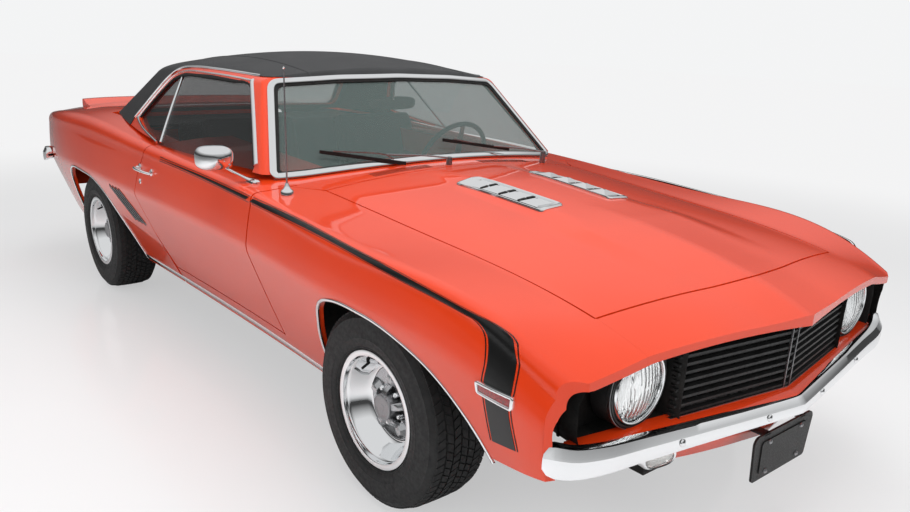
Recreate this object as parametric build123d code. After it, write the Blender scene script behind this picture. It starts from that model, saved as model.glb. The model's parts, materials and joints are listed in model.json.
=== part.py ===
"""Two-door hardtop coupe of the late nineteen-sixties, in millimetres.

X points to the front, Y to the car's left and Z up. The origin is on the ground, midway
between the bumpers and on the centre line.
"""
import os
from collections import namedtuple
from math import atan2, cos, degrees, radians, sin

from build123d import *

os.makedirs("parts", exist_ok=True)

# Running gear
front_axle_x = 1432.0
wheelbase = 2745.0
rear_axle_x = front_axle_x - wheelbase
tyre_radius = 326.0
tyre_width = 224.0
axle_z = tyre_radius
wheel_centre_y = 757.0
rim_radius = 195.0
rim_width = 200.0
rim_wall = 12.0
hub_radius = 48.0
hub_depth = 48.0
cap_wall = 12.0
disc_out = 22.0
disc_thickness = 26.0
lip_width = 12.0
spoke_count = 5
rib_reach = 118.0
rib_height = 20.0
spindle_radius = 22.0
running_clearance = 0.1
kingpin_y = 668.0
steering_limit = 30.0

# Panels and gaps
skin = 20.0
door_thickness = 110.0
panel_gap = 6.0
door_front_gap = 8.0
seat_gap = 0.3

arch_corner = 55.0
arch_inner_y = 560.0
hood_thickness = 24.0
hood_rear_x = 823.0
door_front_x = 704.0
door_bottom_z = 330.0
door_inner_y = 730.0
door_taper = 7.0
cowl_edge_y = 735.0
cowl_side_y = 706.0
windshield_base_x = 560.0
deck_front_x = -1395.0
deck_rear_x = -2240.0
deck_edge_y = 640.0
quarter_inner_y = 735.0

# Greenhouse: plan outlines at the belt and at the roof rail
belt_z = 930.0
rail_z = 1262.0
glass_inset = 5.0
glass_thickness = 5.0
roof_wall = 34.0

# Seats and controls
seat_y = 370.0
cushion_top_z = 560.0
steering_wheel_radius = 195.0

# Door hinge: its pin stands just inside the widest part of the door
hinge_back = 110.0
hinge_in = 26.0
hinge_pin_radius = 5.0
hinge_eye_radius = 8.0
hinge_z = 695.0
hinge_height = 40.0
hinge_clearance = 10.0
hinge_arm_angle = 65.0
hinge_arm_reach = 114.0

# Underbody
floor_z = 232.0
floor_thickness = 12.0
floor_half_y = 670.0
tunnel_half_y = 130.0
tunnel_z = 400.0
trunk_floor_z = 470.0
firewall_x = 700.0

# Body stations, from tail to nose. Heights z and half widths y of the lower edge, the side
# crease, the side under the shoulder, the shoulder's top, the hood or deck seam, and the
# height on the centre line.
Station = namedtuple(
    "Station", "x z_low y_low z_crease y_crease z_side y_side z_edge y_edge z_seam y_seam z_mid"
)
stations = [
    Station(-2300, 400, 760, 640, 850, 830, 838, 900, 780, 922, 640, 936),
    Station(-1950, 320, 790, 670, 905, 860, 890, 938, 815, 958, 645, 974),
    Station(-1313, 260, 770, 690, 936, 880, 905, 965, 830, 990, 650, 1008),
    Station(-400, 240, 735, 690, 926, 870, 900, 928, 850, 950, 655, 975),
    Station(704, 240, 735, 690, 922, 845, 895, 889, 846, 904, 655, 948),
    Station(1432, 260, 770, 680, 938, 805, 915, 846, 862, 850, 636, 902),
    Station(2000, 330, 830, 640, 912, 745, 888, 786, 838, 790, 622, 834),
    Station(2230, 400, 850, 560, 868, 630, 845, 688, 794, 733, 617, 776),
    Station(2350, 420, 800, 520, 810, 570, 790, 630, 750, 690, 600, 726),
]


def across(x):
    """Plane square to the car at one station: its X is the car's left, its Y is up."""
    return Plane(origin=(x, 0, 0), x_dir=(0, 1, 0), z_dir=(1, 0, 0))


def body_section(row, inset, drop):
    """Closed section of the lower body, moved in by the inset and its sides longer by the drop."""
    lean = (row.y_crease - row.y_low) / (row.z_crease - row.z_low)
    low = (row.y_low - inset - drop * lean, row.z_low - drop)
    crease = (row.y_crease - inset, row.z_crease)
    side = (row.y_side - inset, row.z_side - inset)
    edge = (row.y_edge - inset, row.z_edge - inset)
    seam = (row.y_seam - inset, row.z_seam - inset)
    crown = (0, row.z_mid - inset)
    round_at = (
        (side[0] + edge[0]) / 2 * 0.586 + side[0] * 0.414,
        (side[1] + edge[1]) / 2 * 0.586 + edge[1] * 0.414,
    )
    left = [Line(low, crease), Line(crease, side), ThreePointArc(side, round_at, edge), Line(edge, seam)]
    right = [mirror(piece, about=Plane.YZ) for piece in left]
    crown_arc = ThreePointArc(seam, crown, (-seam[0], seam[1]))
    bottom = Line((-low[0], low[1]), low)
    return across(row.x) * make_face(Curve() + left + [crown_arc] + right + [bottom])


def body_solid(inset, drop=0.0):
    """Lower body as one smooth solid from tail to nose."""
    return loft([body_section(row, inset, drop) for row in stations])


def side_block(points, y_from, y_to, taper=0.0):
    """Prism with a side-view outline, from one half width inwards to another."""
    face = Plane(origin=(0, y_from, 0), x_dir=(1, 0, 0), z_dir=(0, -1, 0)) * make_face(
        Polyline(*points, close=True)
    )
    if taper:
        return extrude(face, amount=y_from - y_to, taper=taper)
    return extrude(face, amount=y_from - y_to, dir=(0, -1, 0))


def plan_block(points, z_from, z_to):
    """Prism with a plan-view outline between two heights."""
    face = Plane.XY.offset(z_from) * make_face(Polyline(*points, close=True))
    return extrude(face, amount=z_to - z_from, dir=(0, 0, 1))


def box(x, y, z):
    """Box between two corners given as ranges."""
    size = (x[1] - x[0], y[1] - y[0], z[1] - z[0])
    middle = ((x[0] + x[1]) / 2, (y[0] + y[1]) / 2, (z[0] + z[1]) / 2)
    return Pos(*middle) * Box(*size)


def rounded_block(points, radius, y_from, y_to):
    """Prism along Y with a side-view outline whose corners are rounded."""
    outline = FilletPolyline(*points, radius=radius, close=True)
    face = Plane(origin=(0, y_from, 0), x_dir=(1, 0, 0), z_dir=(0, -1, 0)) * make_face(outline)
    return extrude(face, amount=y_from - y_to, dir=(0, -1, 0))


def rod(start, end, radius):
    """Round bar between two points."""
    run = Vector(end) - Vector(start)
    return Plane(origin=(Vector(start) + Vector(end)) / 2, z_dir=run) * Cylinder(radius, run.length)


def both_sides(solid):
    """The solid and its mirror image across the centre line."""
    return [solid, mirror(solid, about=Plane.XZ)]


def save(name, *solids):
    """Write one node."""
    flat = [part for solid in solids for part in (solid if isinstance(solid, (list, tuple)) else [solid])]
    parts = [piece for part in flat for piece in part.solids()]
    shape = parts[0] if len(parts) == 1 else Compound(parts)
    shape.label = name
    export_step(shape, f"parts/{name}.step")


# Lower body as a shell, cut into its panels
outer = body_solid(0.0)
shell = outer - body_solid(skin, 200.0)
door_shell = outer - body_solid(door_thickness, 200.0)

front_arch = [
    (1056, 120), (1073, 430), (1196, 632), (1330, 672), (1560, 666), (1760, 598), (1900, 480), (2010, 330), (2020, 120)
]
rear_arch = [
    (-850, 120), (-875, 330), (-1010, 600), (-1120, 668), (-1480, 680), (-1620, 620), (-1705, 480), (-1730, 330),
    (-1740, 120),
]
arch_cut = rounded_block(front_arch, arch_corner, 1000, arch_inner_y) + rounded_block(
    rear_arch, arch_corner, 1000, arch_inner_y
)

nose_x = 2335.0
nose_seam_x = 2239.0
nose_corner_x = 2214.0
hood_front_x = 2151.0
hood_corner_x = 2068.0
hood_corner_y = 616.0
hood_rear_y = 652.0

hood_plan = [
    (hood_rear_x, -hood_rear_y), (hood_corner_x, -hood_corner_y), (hood_front_x, 0), (hood_corner_x, hood_corner_y),
    (hood_rear_x, hood_rear_y),
]
hood_skin = outer - body_solid(hood_thickness, 0.0)
hood = hood_skin & plan_block(hood_plan, 640, 1000)

header_plan = [
    (hood_front_x + panel_gap, 0), (hood_corner_x + panel_gap, hood_corner_y), (nose_seam_x, hood_corner_y),
    (nose_x, 0), (nose_seam_x, -hood_corner_y), (hood_corner_x + panel_gap, -hood_corner_y),
]
header_panel = shell & plan_block(header_plan, 640, 900)

fender_plan = [
    (door_front_x, 1000), (door_front_x, cowl_edge_y), (hood_rear_x, hood_rear_y + panel_gap),
    (hood_corner_x, hood_corner_y + panel_gap), (hood_corner_x + panel_gap, hood_corner_y + seat_gap),
    (nose_seam_x, hood_corner_y + seat_gap), (nose_corner_x, 794), (2165, 880), (2110, 1000),
]
fender_left = (shell & plan_block(fender_plan, 150, 1000)) - arch_cut

cowl_plan = [
    (hood_rear_x - panel_gap, -hood_rear_y), (hood_rear_x - panel_gap, hood_rear_y),
    (door_front_x, cowl_edge_y - seat_gap), (door_front_x, cowl_side_y), (windshield_base_x, cowl_side_y),
    (windshield_base_x, -cowl_side_y), (door_front_x, -cowl_side_y), (door_front_x, -cowl_edge_y + seat_gap),
]
cowl_panel = shell & plan_block(cowl_plan, 700, 1000)

door_outline = [
    (door_front_x - door_front_gap, door_bottom_z), (door_front_x - door_front_gap, 1000), (-330, 1000),
    (-345, 930), (-425, 800), (-465, 684), (-450, 500), (-390, door_bottom_z),
]
door_block = side_block(door_outline, 1000, door_inner_y, taper=door_taper)
door_solid = door_shell & door_block

# Door hinge: the pin is the door's, the eye and its cranked arm are the hinge post's
door_edge_x = door_front_x - door_front_gap
hinge_x = door_edge_x - hinge_back
hinge_y = stations[4].y_crease - hinge_in
pocket = box(
    (hinge_x - hinge_eye_radius - 4, door_edge_x + 5), (600, hinge_y + hinge_eye_radius + 3),
    (hinge_z - hinge_height / 2 - hinge_clearance, hinge_z + hinge_height / 2 + hinge_clearance),
)
door_solid -= pocket
door_solid += rod((hinge_x, hinge_y, hinge_z - 40), (hinge_x, hinge_y, hinge_z + 40), hinge_pin_radius)
elbow_x = hinge_x + hinge_arm_reach * cos(radians(hinge_arm_angle))
elbow_y = hinge_y - hinge_arm_reach * sin(radians(hinge_arm_angle))
low_z = hinge_z - hinge_height / 2
hinge_plane = Plane.XY.offset(low_z)
arm_path = [(hinge_x, hinge_y), (elbow_x, elbow_y), (firewall_x + 40, elbow_y)]
hinge_arm = rod((hinge_x, hinge_y, low_z), (hinge_x, hinge_y, low_z + hinge_height), hinge_eye_radius)
for start, end in zip(arm_path, arm_path[1:]):
    run = Vector(*end) - Vector(*start)
    turn = degrees(atan2(run.Y, run.X))
    middle = (Vector(*start) + Vector(*end)) / 2
    bar = Pos(middle.X, middle.Y, hinge_z) * Rot(0, 0, turn) * Box(run.length + 8, 12, hinge_height)
    hinge_arm += bar
hinge_arm -= rod(
    (hinge_x, hinge_y, low_z - 5), (hinge_x, hinge_y, low_z + hinge_height + 5), hinge_pin_radius + running_clearance
)
hinge_post = box((firewall_x + floor_thickness, firewall_x + 60), (floor_half_y - 10, 812), (620, 800)) + hinge_arm

quarter_cut = side_block([(p[0] - (panel_gap if i > 1 else 0), p[1]) for i, p in enumerate(door_outline)], 1000, 600)
quarter_plan = [
    (-320, 1000), (-320, quarter_inner_y), (deck_front_x, quarter_inner_y), (deck_front_x, deck_edge_y + panel_gap),
    (-2290, deck_edge_y + panel_gap), (-2290, 1000),
]
rocker_outline = [
    (door_front_x - seat_gap, 100), (door_front_x - seat_gap, door_bottom_z - panel_gap),
    (-390, door_bottom_z - panel_gap), (-390, 100),
]
rocker_cut = side_block([(1000, 90), (1000, door_bottom_z), (-390 - seat_gap, door_bottom_z), (-390 - seat_gap, 90)], 1000, 600)
quarter_left = (shell & plan_block(quarter_plan, 150, 1100)) - arch_cut - quarter_cut - rocker_cut

# Greenhouse between the belt and the roof crown
Outline = namedtuple("Outline", "front_x front_corner side_mid rear_corner rear_x")
belt = Outline(730.0, (552.0, 772.0), (-250.0, 850.0), (-1384.0, 720.0), -1440.0)
rail = Outline(357.0, (262.0, 613.0), (-350.0, 634.0), (-880.0, 575.0), -955.0)
crown_stations = [(700, 1215, 1215), (357, 1292, 1262), (-100, 1345, 1275), (-600, 1333, 1272), (-955, 1282, 1252),
                  (-1450, 1150, 1150)]


def outline_face(z, inset):
    """Plan outline of the greenhouse at a height, straight between belt and rail."""
    share = (z - belt_z) / (rail_z - belt_z)

    def between(a, b):
        return a + (b - a) * share

    front = between(belt.front_x, rail.front_x) - inset
    rear = between(belt.rear_x, rail.rear_x) + inset
    corner_front = tuple(between(a, b) - inset for a, b in zip(belt.front_corner, rail.front_corner))
    middle = (between(belt.side_mid[0], rail.side_mid[0]), between(belt.side_mid[1], rail.side_mid[1]) - inset)
    corner_rear = (
        between(belt.rear_corner[0], rail.rear_corner[0]) + inset,
        between(belt.rear_corner[1], rail.rear_corner[1]) - inset,
    )

    def flip(point):
        return (point[0], -point[1])

    edges = [
        ThreePointArc(flip(corner_front), (front, 0), corner_front),
        ThreePointArc(corner_front, middle, corner_rear),
        ThreePointArc(corner_rear, (rear, 0), flip(corner_rear)),
        ThreePointArc(flip(corner_rear), flip(middle), flip(corner_front)),
    ]
    return Plane.XY.offset(z) * make_face(Curve() + edges)


def crown_face(x, z_mid, z_rail, inset):
    """Section under the roof's crown at one station."""
    half = 620.0
    wide = 1000.0
    low = 700.0
    z_edge = z_rail - inset - 0.12 * (wide - half)
    top = ThreePointArc((wide, z_edge - 60), (0, z_mid - inset), (-wide, z_edge - 60))
    sides = [Line((-wide, z_edge - 60), (-wide, low)), Line((-wide, low), (wide, low)), Line((wide, low), (wide, z_edge - 60))]
    return across(x) * make_face(Curve() + [top] + sides)


def greenhouse(inset):
    """Solid greenhouse, moved in by the inset on every side."""
    walls = loft([outline_face(870.0, inset), outline_face(1400.0, inset)], ruled=True)
    crown = loft([crown_face(x, z_mid, z_rail, inset) for x, z_mid, z_rail in crown_stations])
    return walls & crown


cabin_outer = greenhouse(0.0)
cabin_shell = cabin_outer - greenhouse(roof_wall)
glass_shell = greenhouse(glass_inset) - greenhouse(glass_inset + glass_thickness)

side_window = [(505, 860), (500, 940), (212, 1236), (-150, 1246), (-520, 1236), (-660, 1190), (-815, 1010), (-330, 938), (-330, 860)]
front_window = [(-735, 945), (-594, 1248), (0, 1278), (594, 1248), (735, 945)]
rear_window = [(-640, 1012), (-515, 1240), (515, 1240), (640, 1012)]


def face_block(points, x_from, x_to):
    """Prism along X with a front-view outline."""
    face = across(x_from) * make_face(Polyline(*points, close=True))
    return extrude(face, amount=x_to - x_from, dir=(1, 0, 0))


side_opening = side_block(side_window, 1000, -1000)
front_opening = face_block(front_window, 200, 900)
rear_opening = face_block(rear_window, -1600, -700)
above_belt = box((-1500, 900), (-1000, 1000), (905, 1500))
roof = (cabin_shell & above_belt) - side_opening - front_opening - rear_opening - outer
windshield = (glass_shell & front_opening) - outer
rear_glass = (glass_shell & rear_opening) - outer
door_window = [(488, 935), (212, 1228), (-150, 1239), (-490, 1230), (-318, 935)]
quarter_window = [(-502, 1250), (-700, 1250), (-840, 1012), (-840, 900), (-318, 900), (-330, 944)]
door_glass = (glass_shell & side_block(door_window, 1000, 300)) - door_solid
quarter_glass = (glass_shell & side_block(quarter_window, 1000, 300)) - outer - roof

# Nose: lower panel, grille and lamps along the same V
v_slope = (nose_x - nose_seam_x) / hood_corner_y


def v_band(x_mid, half_y, thickness, z_from, z_to):
    """Vertical band along the nose's V."""
    drop = v_slope * half_y
    points = [(x_mid, 0), (x_mid - drop, half_y), (x_mid - drop - thickness, half_y), (x_mid - thickness, 0),
              (x_mid - drop - thickness, -half_y), (x_mid - drop, -half_y)]
    return plan_block(points, z_from, z_to)


lamp_y = 575.0
lamp_z = 622.0
lamp_radius = 104.0
lamp_face_x = 2176.0
lens_radius = 92.0
lens_rise = 22.0
grille_x = 2296.0
grille_half_y = 452.0
grille_low_z = 520.0
grille_high_z = 706.0
bar_count = 7
bar_height = 9.0
bar_depth = 22.0
grille = v_band(grille_x - bar_depth, grille_half_y, 6, grille_low_z, grille_high_z)
pitch = (grille_high_z - grille_low_z - bar_height) / (bar_count - 1)
for number in range(bar_count):
    z = grille_low_z + number * pitch
    grille += v_band(grille_x, grille_half_y, bar_depth, z, z + bar_height)
surround_outline = [(grille_half_y - 12, 512), (860, 512), (860, 780), (grille_half_y - 12, 780)]
surround = face_block(surround_outline, lamp_face_x - 60, lamp_face_x - 30) & body_solid(skin + seat_gap, 0.0)
surround -= rod((lamp_face_x - 100, lamp_y, lamp_z), (lamp_face_x, lamp_y, lamp_z), lamp_radius + seat_gap)
for piece in both_sides(surround):
    grille += piece
for side in (1, -1):
    grille += box((lamp_face_x - 60, 2208), (side * (grille_half_y - 6) - 6, side * (grille_half_y - 6) + 6), (grille_low_z, 700))

nose_panel = v_band(nose_x - 24, 735, 20, 440, grille_low_z - seat_gap)
lower_valance = v_band(nose_x - 60, 700, 14, 330, 440)
front_valance = nose_panel + lower_valance + v_band(nose_x - 24, 700, 50, 426, 440)

lamps = []
for side in (1, -1):
    bucket = rod((lamp_face_x - 70, side * lamp_y, lamp_z), (lamp_face_x, side * lamp_y, lamp_z), lamp_radius)
    lens_face = Plane(origin=(lamp_face_x, side * lamp_y, lamp_z), x_dir=(0, 1, 0), z_dir=(0, 0, -1)) * make_face(
        Polyline((0, -4), (0, lens_rise), (lens_radius * 0.5, lens_rise * 0.8), (lens_radius * 0.85, lens_rise * 0.4),
                 (lens_radius, 0), (lens_radius, -4), close=True)
    )
    lens = revolve(lens_face, axis=Axis((lamp_face_x, side * lamp_y, lamp_z), (1, 0, 0)))
    lamps.append(bucket + lens)
    park = rod((2205, side * 460, 392), (2262, side * 460, 392), 42)
    front_valance -= rod((2150, side * 460, 392), (2300, side * 460, 392), 42 + seat_gap)
    lamps.append(park)

# Bumpers
bumper_plan = [(2362, 0), (2264, 640), (2236, 800), (2196, 868), (2130, 905), (2120, 885), (2180, 800), (2226, 630),
               (2322, 0)]
bumper_plan = bumper_plan + [(x, -y) for x, y in bumper_plan[-2:0:-1]]
front_bumper = plan_block(bumper_plan, 452, 528)
for fender_block in both_sides(outer & plan_block(fender_plan, 400, 600)):
    front_bumper -= fender_block
front_bumper -= front_valance
rear_bumper_plan = [(-2362, 0), (-2350, 600), (-2335, 800), (-2312, 875), (-2262, 900), (-2120, 908), (-2120, 860),
                    (-2262, 840), (-2300.3, 800), (-2305, 590), (-2324, 0)]
rear_bumper_plan = rear_bumper_plan + [(x, -y) for x, y in rear_bumper_plan[-2:0:-1]]
rear_bumper = plan_block(rear_bumper_plan, 590, 680)
for quarter_block in both_sides(outer & plan_block([(-2300, 640), (-2300, 1000), (-1900, 1000), (-1900, 640)], 500, 800)):
    rear_bumper -= quarter_block
plate_bracket = box((2262, 2318), (-80, 80), (392, 400)) + box((2310, 2318), (-150, 150), (250, 400))
plate_bracket -= front_valance
for side in (1, -1):
    plate_bracket -= rod((2300, side * 89, 372), (2330, side * 89, 372), 4)

# Tail
trunk_plan = [(deck_front_x - panel_gap, -deck_edge_y), (deck_rear_x, -deck_edge_y), (deck_rear_x, deck_edge_y),
              (deck_front_x - panel_gap, deck_edge_y)]
trunk_lid = hood_skin & plan_block(trunk_plan, 700, 1100)
spoiler_profile = [(-2040, 940), (-2200, 992), (-2236, 988), (-2240, 930)]
spoiler = side_block(spoiler_profile, deck_edge_y, -deck_edge_y)
trunk_lid = trunk_lid + (spoiler - body_solid(1.0))
deck_filler_plan = [(deck_front_x, -quarter_inner_y + seat_gap), (-1330, -quarter_inner_y + seat_gap),
                    (-1330, quarter_inner_y - seat_gap), (deck_front_x, quarter_inner_y - seat_gap)]
deck_filler = shell & plan_block(deck_filler_plan, 800, 1100)
tail_outline = [(row * 1.0, z) for row, z in [(-800, 880), (-760, 905), (760, 905), (800, 880), (820, 640), (740, 420),
                                             (-740, 420), (-820, 640)]]
tail_panel = face_block(tail_outline, -2300, -2290 - seat_gap)
tail_shelf = box((-2300, deck_rear_x + 25), (-600, 600), (700, 1000)) & body_solid(hood_thickness + seat_gap)
tail_panel += tail_shelf - body_solid(hood_thickness + 60)
rear_bumper -= tail_panel
tail_lamps = []
for side in (1, -1):
    lamp = box((-2312, -2300 - seat_gap), (side * 560 - 160, side * 560 + 160), (740, 850))
    tail_lamps.append(lamp)

# Underbody
floor_top = floor_z + floor_thickness
floor_pan = box((-900, firewall_x), (-floor_half_y, floor_half_y), (floor_z, floor_top))
floor_pan += box((-900, firewall_x), (-tunnel_half_y, tunnel_half_y), (floor_z, tunnel_z))
floor_pan -= box((-900, firewall_x + 30), (-tunnel_half_y + 15, tunnel_half_y - 15), (floor_z - 20, tunnel_z - 15))
kick_x = -900.0
trunk_floor = box((-2230, kick_x - floor_thickness - seat_gap), (-500, 500), (trunk_floor_z, trunk_floor_z + floor_thickness))
trunk_floor += box(
    (kick_x - floor_thickness - seat_gap, kick_x - seat_gap), (-500, 500), (floor_z, trunk_floor_z + floor_thickness)
)
firewall = box(
    (firewall_x + seat_gap, firewall_x + floor_thickness), (-floor_half_y, floor_half_y), (floor_z, 860)
) - box((firewall_x - 10, firewall_x + 30), (-tunnel_half_y + 15, tunnel_half_y - 15), (floor_z - 20, tunnel_z - 15))
under_hood = body_solid(hood_thickness + seat_gap)
for post in both_sides(hinge_post):
    firewall += post
for side in (1, -1):
    firewall += box((firewall_x + seat_gap, 1900), (side * 454 - 6, side * 454 + 6), (500, 716))
    firewall += box((1080, 1900), (side * 654 - 206, side * 654 + 206), (716, 728))
    firewall += rod((1860, side * 560, 716), (1860, side * 560, 900), 16) & under_hood
    trunk_floor += box((-1750, -1000), (side * 506 - 6, side * 506 + 6), (trunk_floor_z - 100, 712))
    trunk_floor += box((-1750, -900), (side * 680 - 180, side * 680 + 180), (700, 712))
tank = box((-2150, -1700), (-420, 420), (300, trunk_floor_z))
trunk_floor += fillet(tank.edges().filter_by(Axis.Z), 60)
sill = box((-389.9, door_front_x - seat_gap), (floor_half_y + seat_gap, 745), (floor_top, 300))
rockers = (shell & side_block(rocker_outline, 1000, 600)) + (sill & outer)
front_frame = box((900, 2150), (-400 - 40, -400 + 40), (300, 380)) + box((900, 2150), (360, 440), (300, 380))
frame_solid = front_frame + box((1380, 1480), (-400, 400), (260, 340)) + box((2050, 2070), (-440, 440), (300, 640))
frame_solid += box((firewall_x + 12.3, 960), (-440, -360), (300, 340)) + box((firewall_x + 12.3, 960), (360, 440), (300, 340))
engine_block = box((870, 1750), (-260, 260), (340 + seat_gap, 780))

# Wheels, knuckles and axle
def wheel(x, side):
    """Deep stepped rim with a ribbed, slotted disc and its hub cap, and the tyre seated on it."""
    def turned(profile):
        """Solid of revolution about the axle, from points of radius and distance out from the wheel's centre."""
        points = [(radius, wheel_centre_y + along) for radius, along in profile]
        face = Plane(origin=(x, 0, axle_z), x_dir=(1, 0, 0), z_dir=(0, 0, 1)) * make_face(Polyline(*points, close=True))
        return revolve(face, axis=Axis((x, 0, axle_z), (0, 1, 0)))

    half = rim_width / 2
    well = rim_radius - rim_wall
    disc = disc_out
    back = disc - disc_thickness
    rim = turned([
        (rim_radius, half), (rim_radius, half - lip_width), (well, half - lip_width), (well, -half + lip_width),
        (rim_radius, -half + lip_width), (rim_radius, -half), (well - rim_wall, -half), (well - rim_wall, back),
        (spindle_radius + running_clearance, back), (spindle_radius + running_clearance, disc + hub_depth - cap_wall),
        (0, disc + hub_depth - cap_wall), (0, disc + hub_depth), (hub_radius, disc + hub_depth), (hub_radius + 4, disc),
        (well - rim_wall, disc), (well - rim_wall, half - 16), (rim_radius - 20, half - 4), (rim_radius - 20, half),
    ])
    axle_plane = Plane(origin=(x, wheel_centre_y, axle_z), x_dir=(1, 0, 0), z_dir=(0, 1, 0))
    for number in range(spoke_count):
        turn = axle_plane * Rot(0, 0, 90 + number * 360 / spoke_count)
        rim += turn * Pos(rib_reach, 0, disc + rib_height / 2 - 1) * Box(52, 52, rib_height + 2)
        rim -= turn * Pos(rib_reach + 6, 0, disc) * Box(24, 26, 80)
        rim += turn * Pos(hub_radius, 0, disc + hub_depth / 2 - 2) * Box(40, 24, hub_depth - 4)
    tread = tyre_width / 2
    tyre = turned([
        (well + seat_gap, -half + lip_width + seat_gap), (rim_radius + 4, -half), (rim_radius + 62, -tread),
        (tyre_radius, -tread + 26), (tyre_radius, tread - 26), (rim_radius + 62, tread), (rim_radius + 4, half),
        (well + seat_gap, half - lip_width - seat_gap),
    ])
    tyre -= turned([(0, -half), (rim_radius + seat_gap, -half), (rim_radius + seat_gap, -half + lip_width + seat_gap),
                    (0, -half + lip_width + seat_gap)])
    tyre -= turned([(0, half), (rim_radius + seat_gap, half), (rim_radius + seat_gap, half - lip_width - seat_gap),
                    (0, half - lip_width - seat_gap)])
    if side < 0:
        rim, tyre = mirror(rim, about=Plane.XZ), mirror(tyre, about=Plane.XZ)
    return rim, tyre


corners = {"front_left": (front_axle_x, 1), "front_right": (front_axle_x, -1), "rear_left": (rear_axle_x, 1),
           "rear_right": (rear_axle_x, -1)}
for corner, (x, side) in corners.items():
    rim, tyre = wheel(x, side)
    save(f"wheel_{corner}", rim)
    save(f"tyre_{corner}", tyre)

spindle_end = wheel_centre_y + disc_out + hub_depth - cap_wall - 1
for name, side in (("knuckle_left", 1), ("knuckle_right", -1)):
    post = rod((front_axle_x, side * kingpin_y, 234.1), (front_axle_x, side * kingpin_y, 450.9), 24)
    spindle = rod((front_axle_x, side * kingpin_y, axle_z), (front_axle_x, side * spindle_end, axle_z), spindle_radius)
    save(name, post + spindle)
for side in (1, -1):
    for z, reach in ((222, 60), (463, 45)):
        arm = plan_block([(front_axle_x - 120, side * 430), (front_axle_x + 120, side * 430),
                          (front_axle_x + 25, side * (kingpin_y + 20)), (front_axle_x - 25, side * (kingpin_y + 20))],
                         z - 12, z + 12)
        frame_solid += arm
    frame_solid += box((front_axle_x - 60, front_axle_x + 60), (side * 400 - 40, side * 400 + 40), (210, 475))
spring_y = 470.0
springs = []
for side in (1, -1):
    springs.append(box((rear_axle_x - 620, kick_x - floor_thickness - 2 * seat_gap), (side * spring_y - 25, side * spring_y + 25), (axle_z - 62, axle_z - 34)))
    springs.append(box((rear_axle_x - 620, rear_axle_x - 600), (side * spring_y - 25, side * spring_y + 25), (axle_z - 40, trunk_floor_z - seat_gap)))
rear_axle = rod((rear_axle_x, -spindle_end, axle_z), (rear_axle_x, spindle_end, axle_z), spindle_radius)
rear_axle += rod((rear_axle_x, -560, axle_z), (rear_axle_x, 560, axle_z), 38)
rear_axle += rod((rear_axle_x, -110, axle_z), (rear_axle_x, 110, axle_z), 120)

for spring in springs:
    rear_axle += spring
seats = []
for side in (1, -1):
    seat = box((-330, 180), (side * seat_y - 225, side * seat_y + 225), (floor_top, cushion_top_z))
    seat += side_block([(-250, 480), (-180, 560), (-330, 1010), (-420, 1000)], side * seat_y + 225, side * seat_y - 225)
    seats.append(seat)
rear_seat = box((kick_x, -560), (-480, 480), (tunnel_z, 560))
rear_seat += side_block([(kick_x - 60, trunk_floor_z + floor_thickness), (kick_x + 60, 560), (-1010, 930), (-1120, 930), (-1020, trunk_floor_z + floor_thickness)], 480, -480)
seats.append(rear_seat)
dashboard = side_block(
    [(firewall_x, 700), (firewall_x, 850), (565, 866), (555, 905), (475, 890), (450, 760), (560, 690)], 680, -680
)
column_axis = Vector(cos(radians(22)), 0, -sin(radians(22)))
wheel_centre = Vector(300, seat_y, 870)
steering_plane = Plane(origin=wheel_centre, z_dir=column_axis)
rim_section = Plane(origin=wheel_centre, x_dir=(0, 1, 0), z_dir=Vector(0, 1, 0).cross(column_axis)) * Pos(
    steering_wheel_radius, 0
) * RegularPolygon(12, 6)
steering_wheel = revolve(rim_section, axis=Axis(wheel_centre, column_axis))
steering_wheel += steering_plane * Pos(0, 0, 15) * Cylinder(35, 40)
for angle in (0, 90, 180):
    steering_wheel += steering_plane * Rot(0, 0, angle) * Pos(steering_wheel_radius / 2, 0, 12) * Box(steering_wheel_radius, 24, 8)
column_start = wheel_centre + column_axis * (35 + seat_gap)
column = rod(column_start, column_start + column_axis * 300, 30)
dashboard += column
mirror_stalk = box((300, 316), (-4, 4), (1160, 1278 - seat_gap)) + box((300, 316), (-130, 130), (1120, 1178))

# Small outer pieces
vents = []
for side in (1, -1):
    lid = box((1040, 1510), (side * 177 - 52, side * 177 + 52), (850, 960))
    vents.append((lid & body_solid(-9.0)) - body_solid(0.0))
antenna = rod((780, -790, 880), (778, -790, 1318), 4) + rod((780, -790, 870), (780, -790, 900), 20)
antenna -= outer
wipers = []
for pivot, knee, blade_start, blade_end in (
    ((785, -50, 966), (690, -300, 968), (722, -225, 952), (590, -545, 1000)),
    ((800, 484, 962), (680, 290, 990), (690, 375, 972), (652, 20, 1026)),
):
    base = Vector(pivot[0], pivot[1], 890)
    wiper = rod(base, pivot, 12) + rod(pivot, knee, 5) + rod(blade_start, blade_end, 6)
    wipers.append(wiper - outer - cabin_outer)
mirror_foot = (543, -800, 905)
door_mirror = rod(mirror_foot, (530, -905, 985), 9) + Pos(505, -930, 990) * Rot(0, 0, 8) * Box(70, 130, 84)
door_mirror -= outer
exhaust = []
for side in (1, -1):
    exhaust.append(rod((-1000, side * 250, floor_z - 26 - seat_gap), (500, side * 250, floor_z - 26 - seat_gap), 26))

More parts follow.
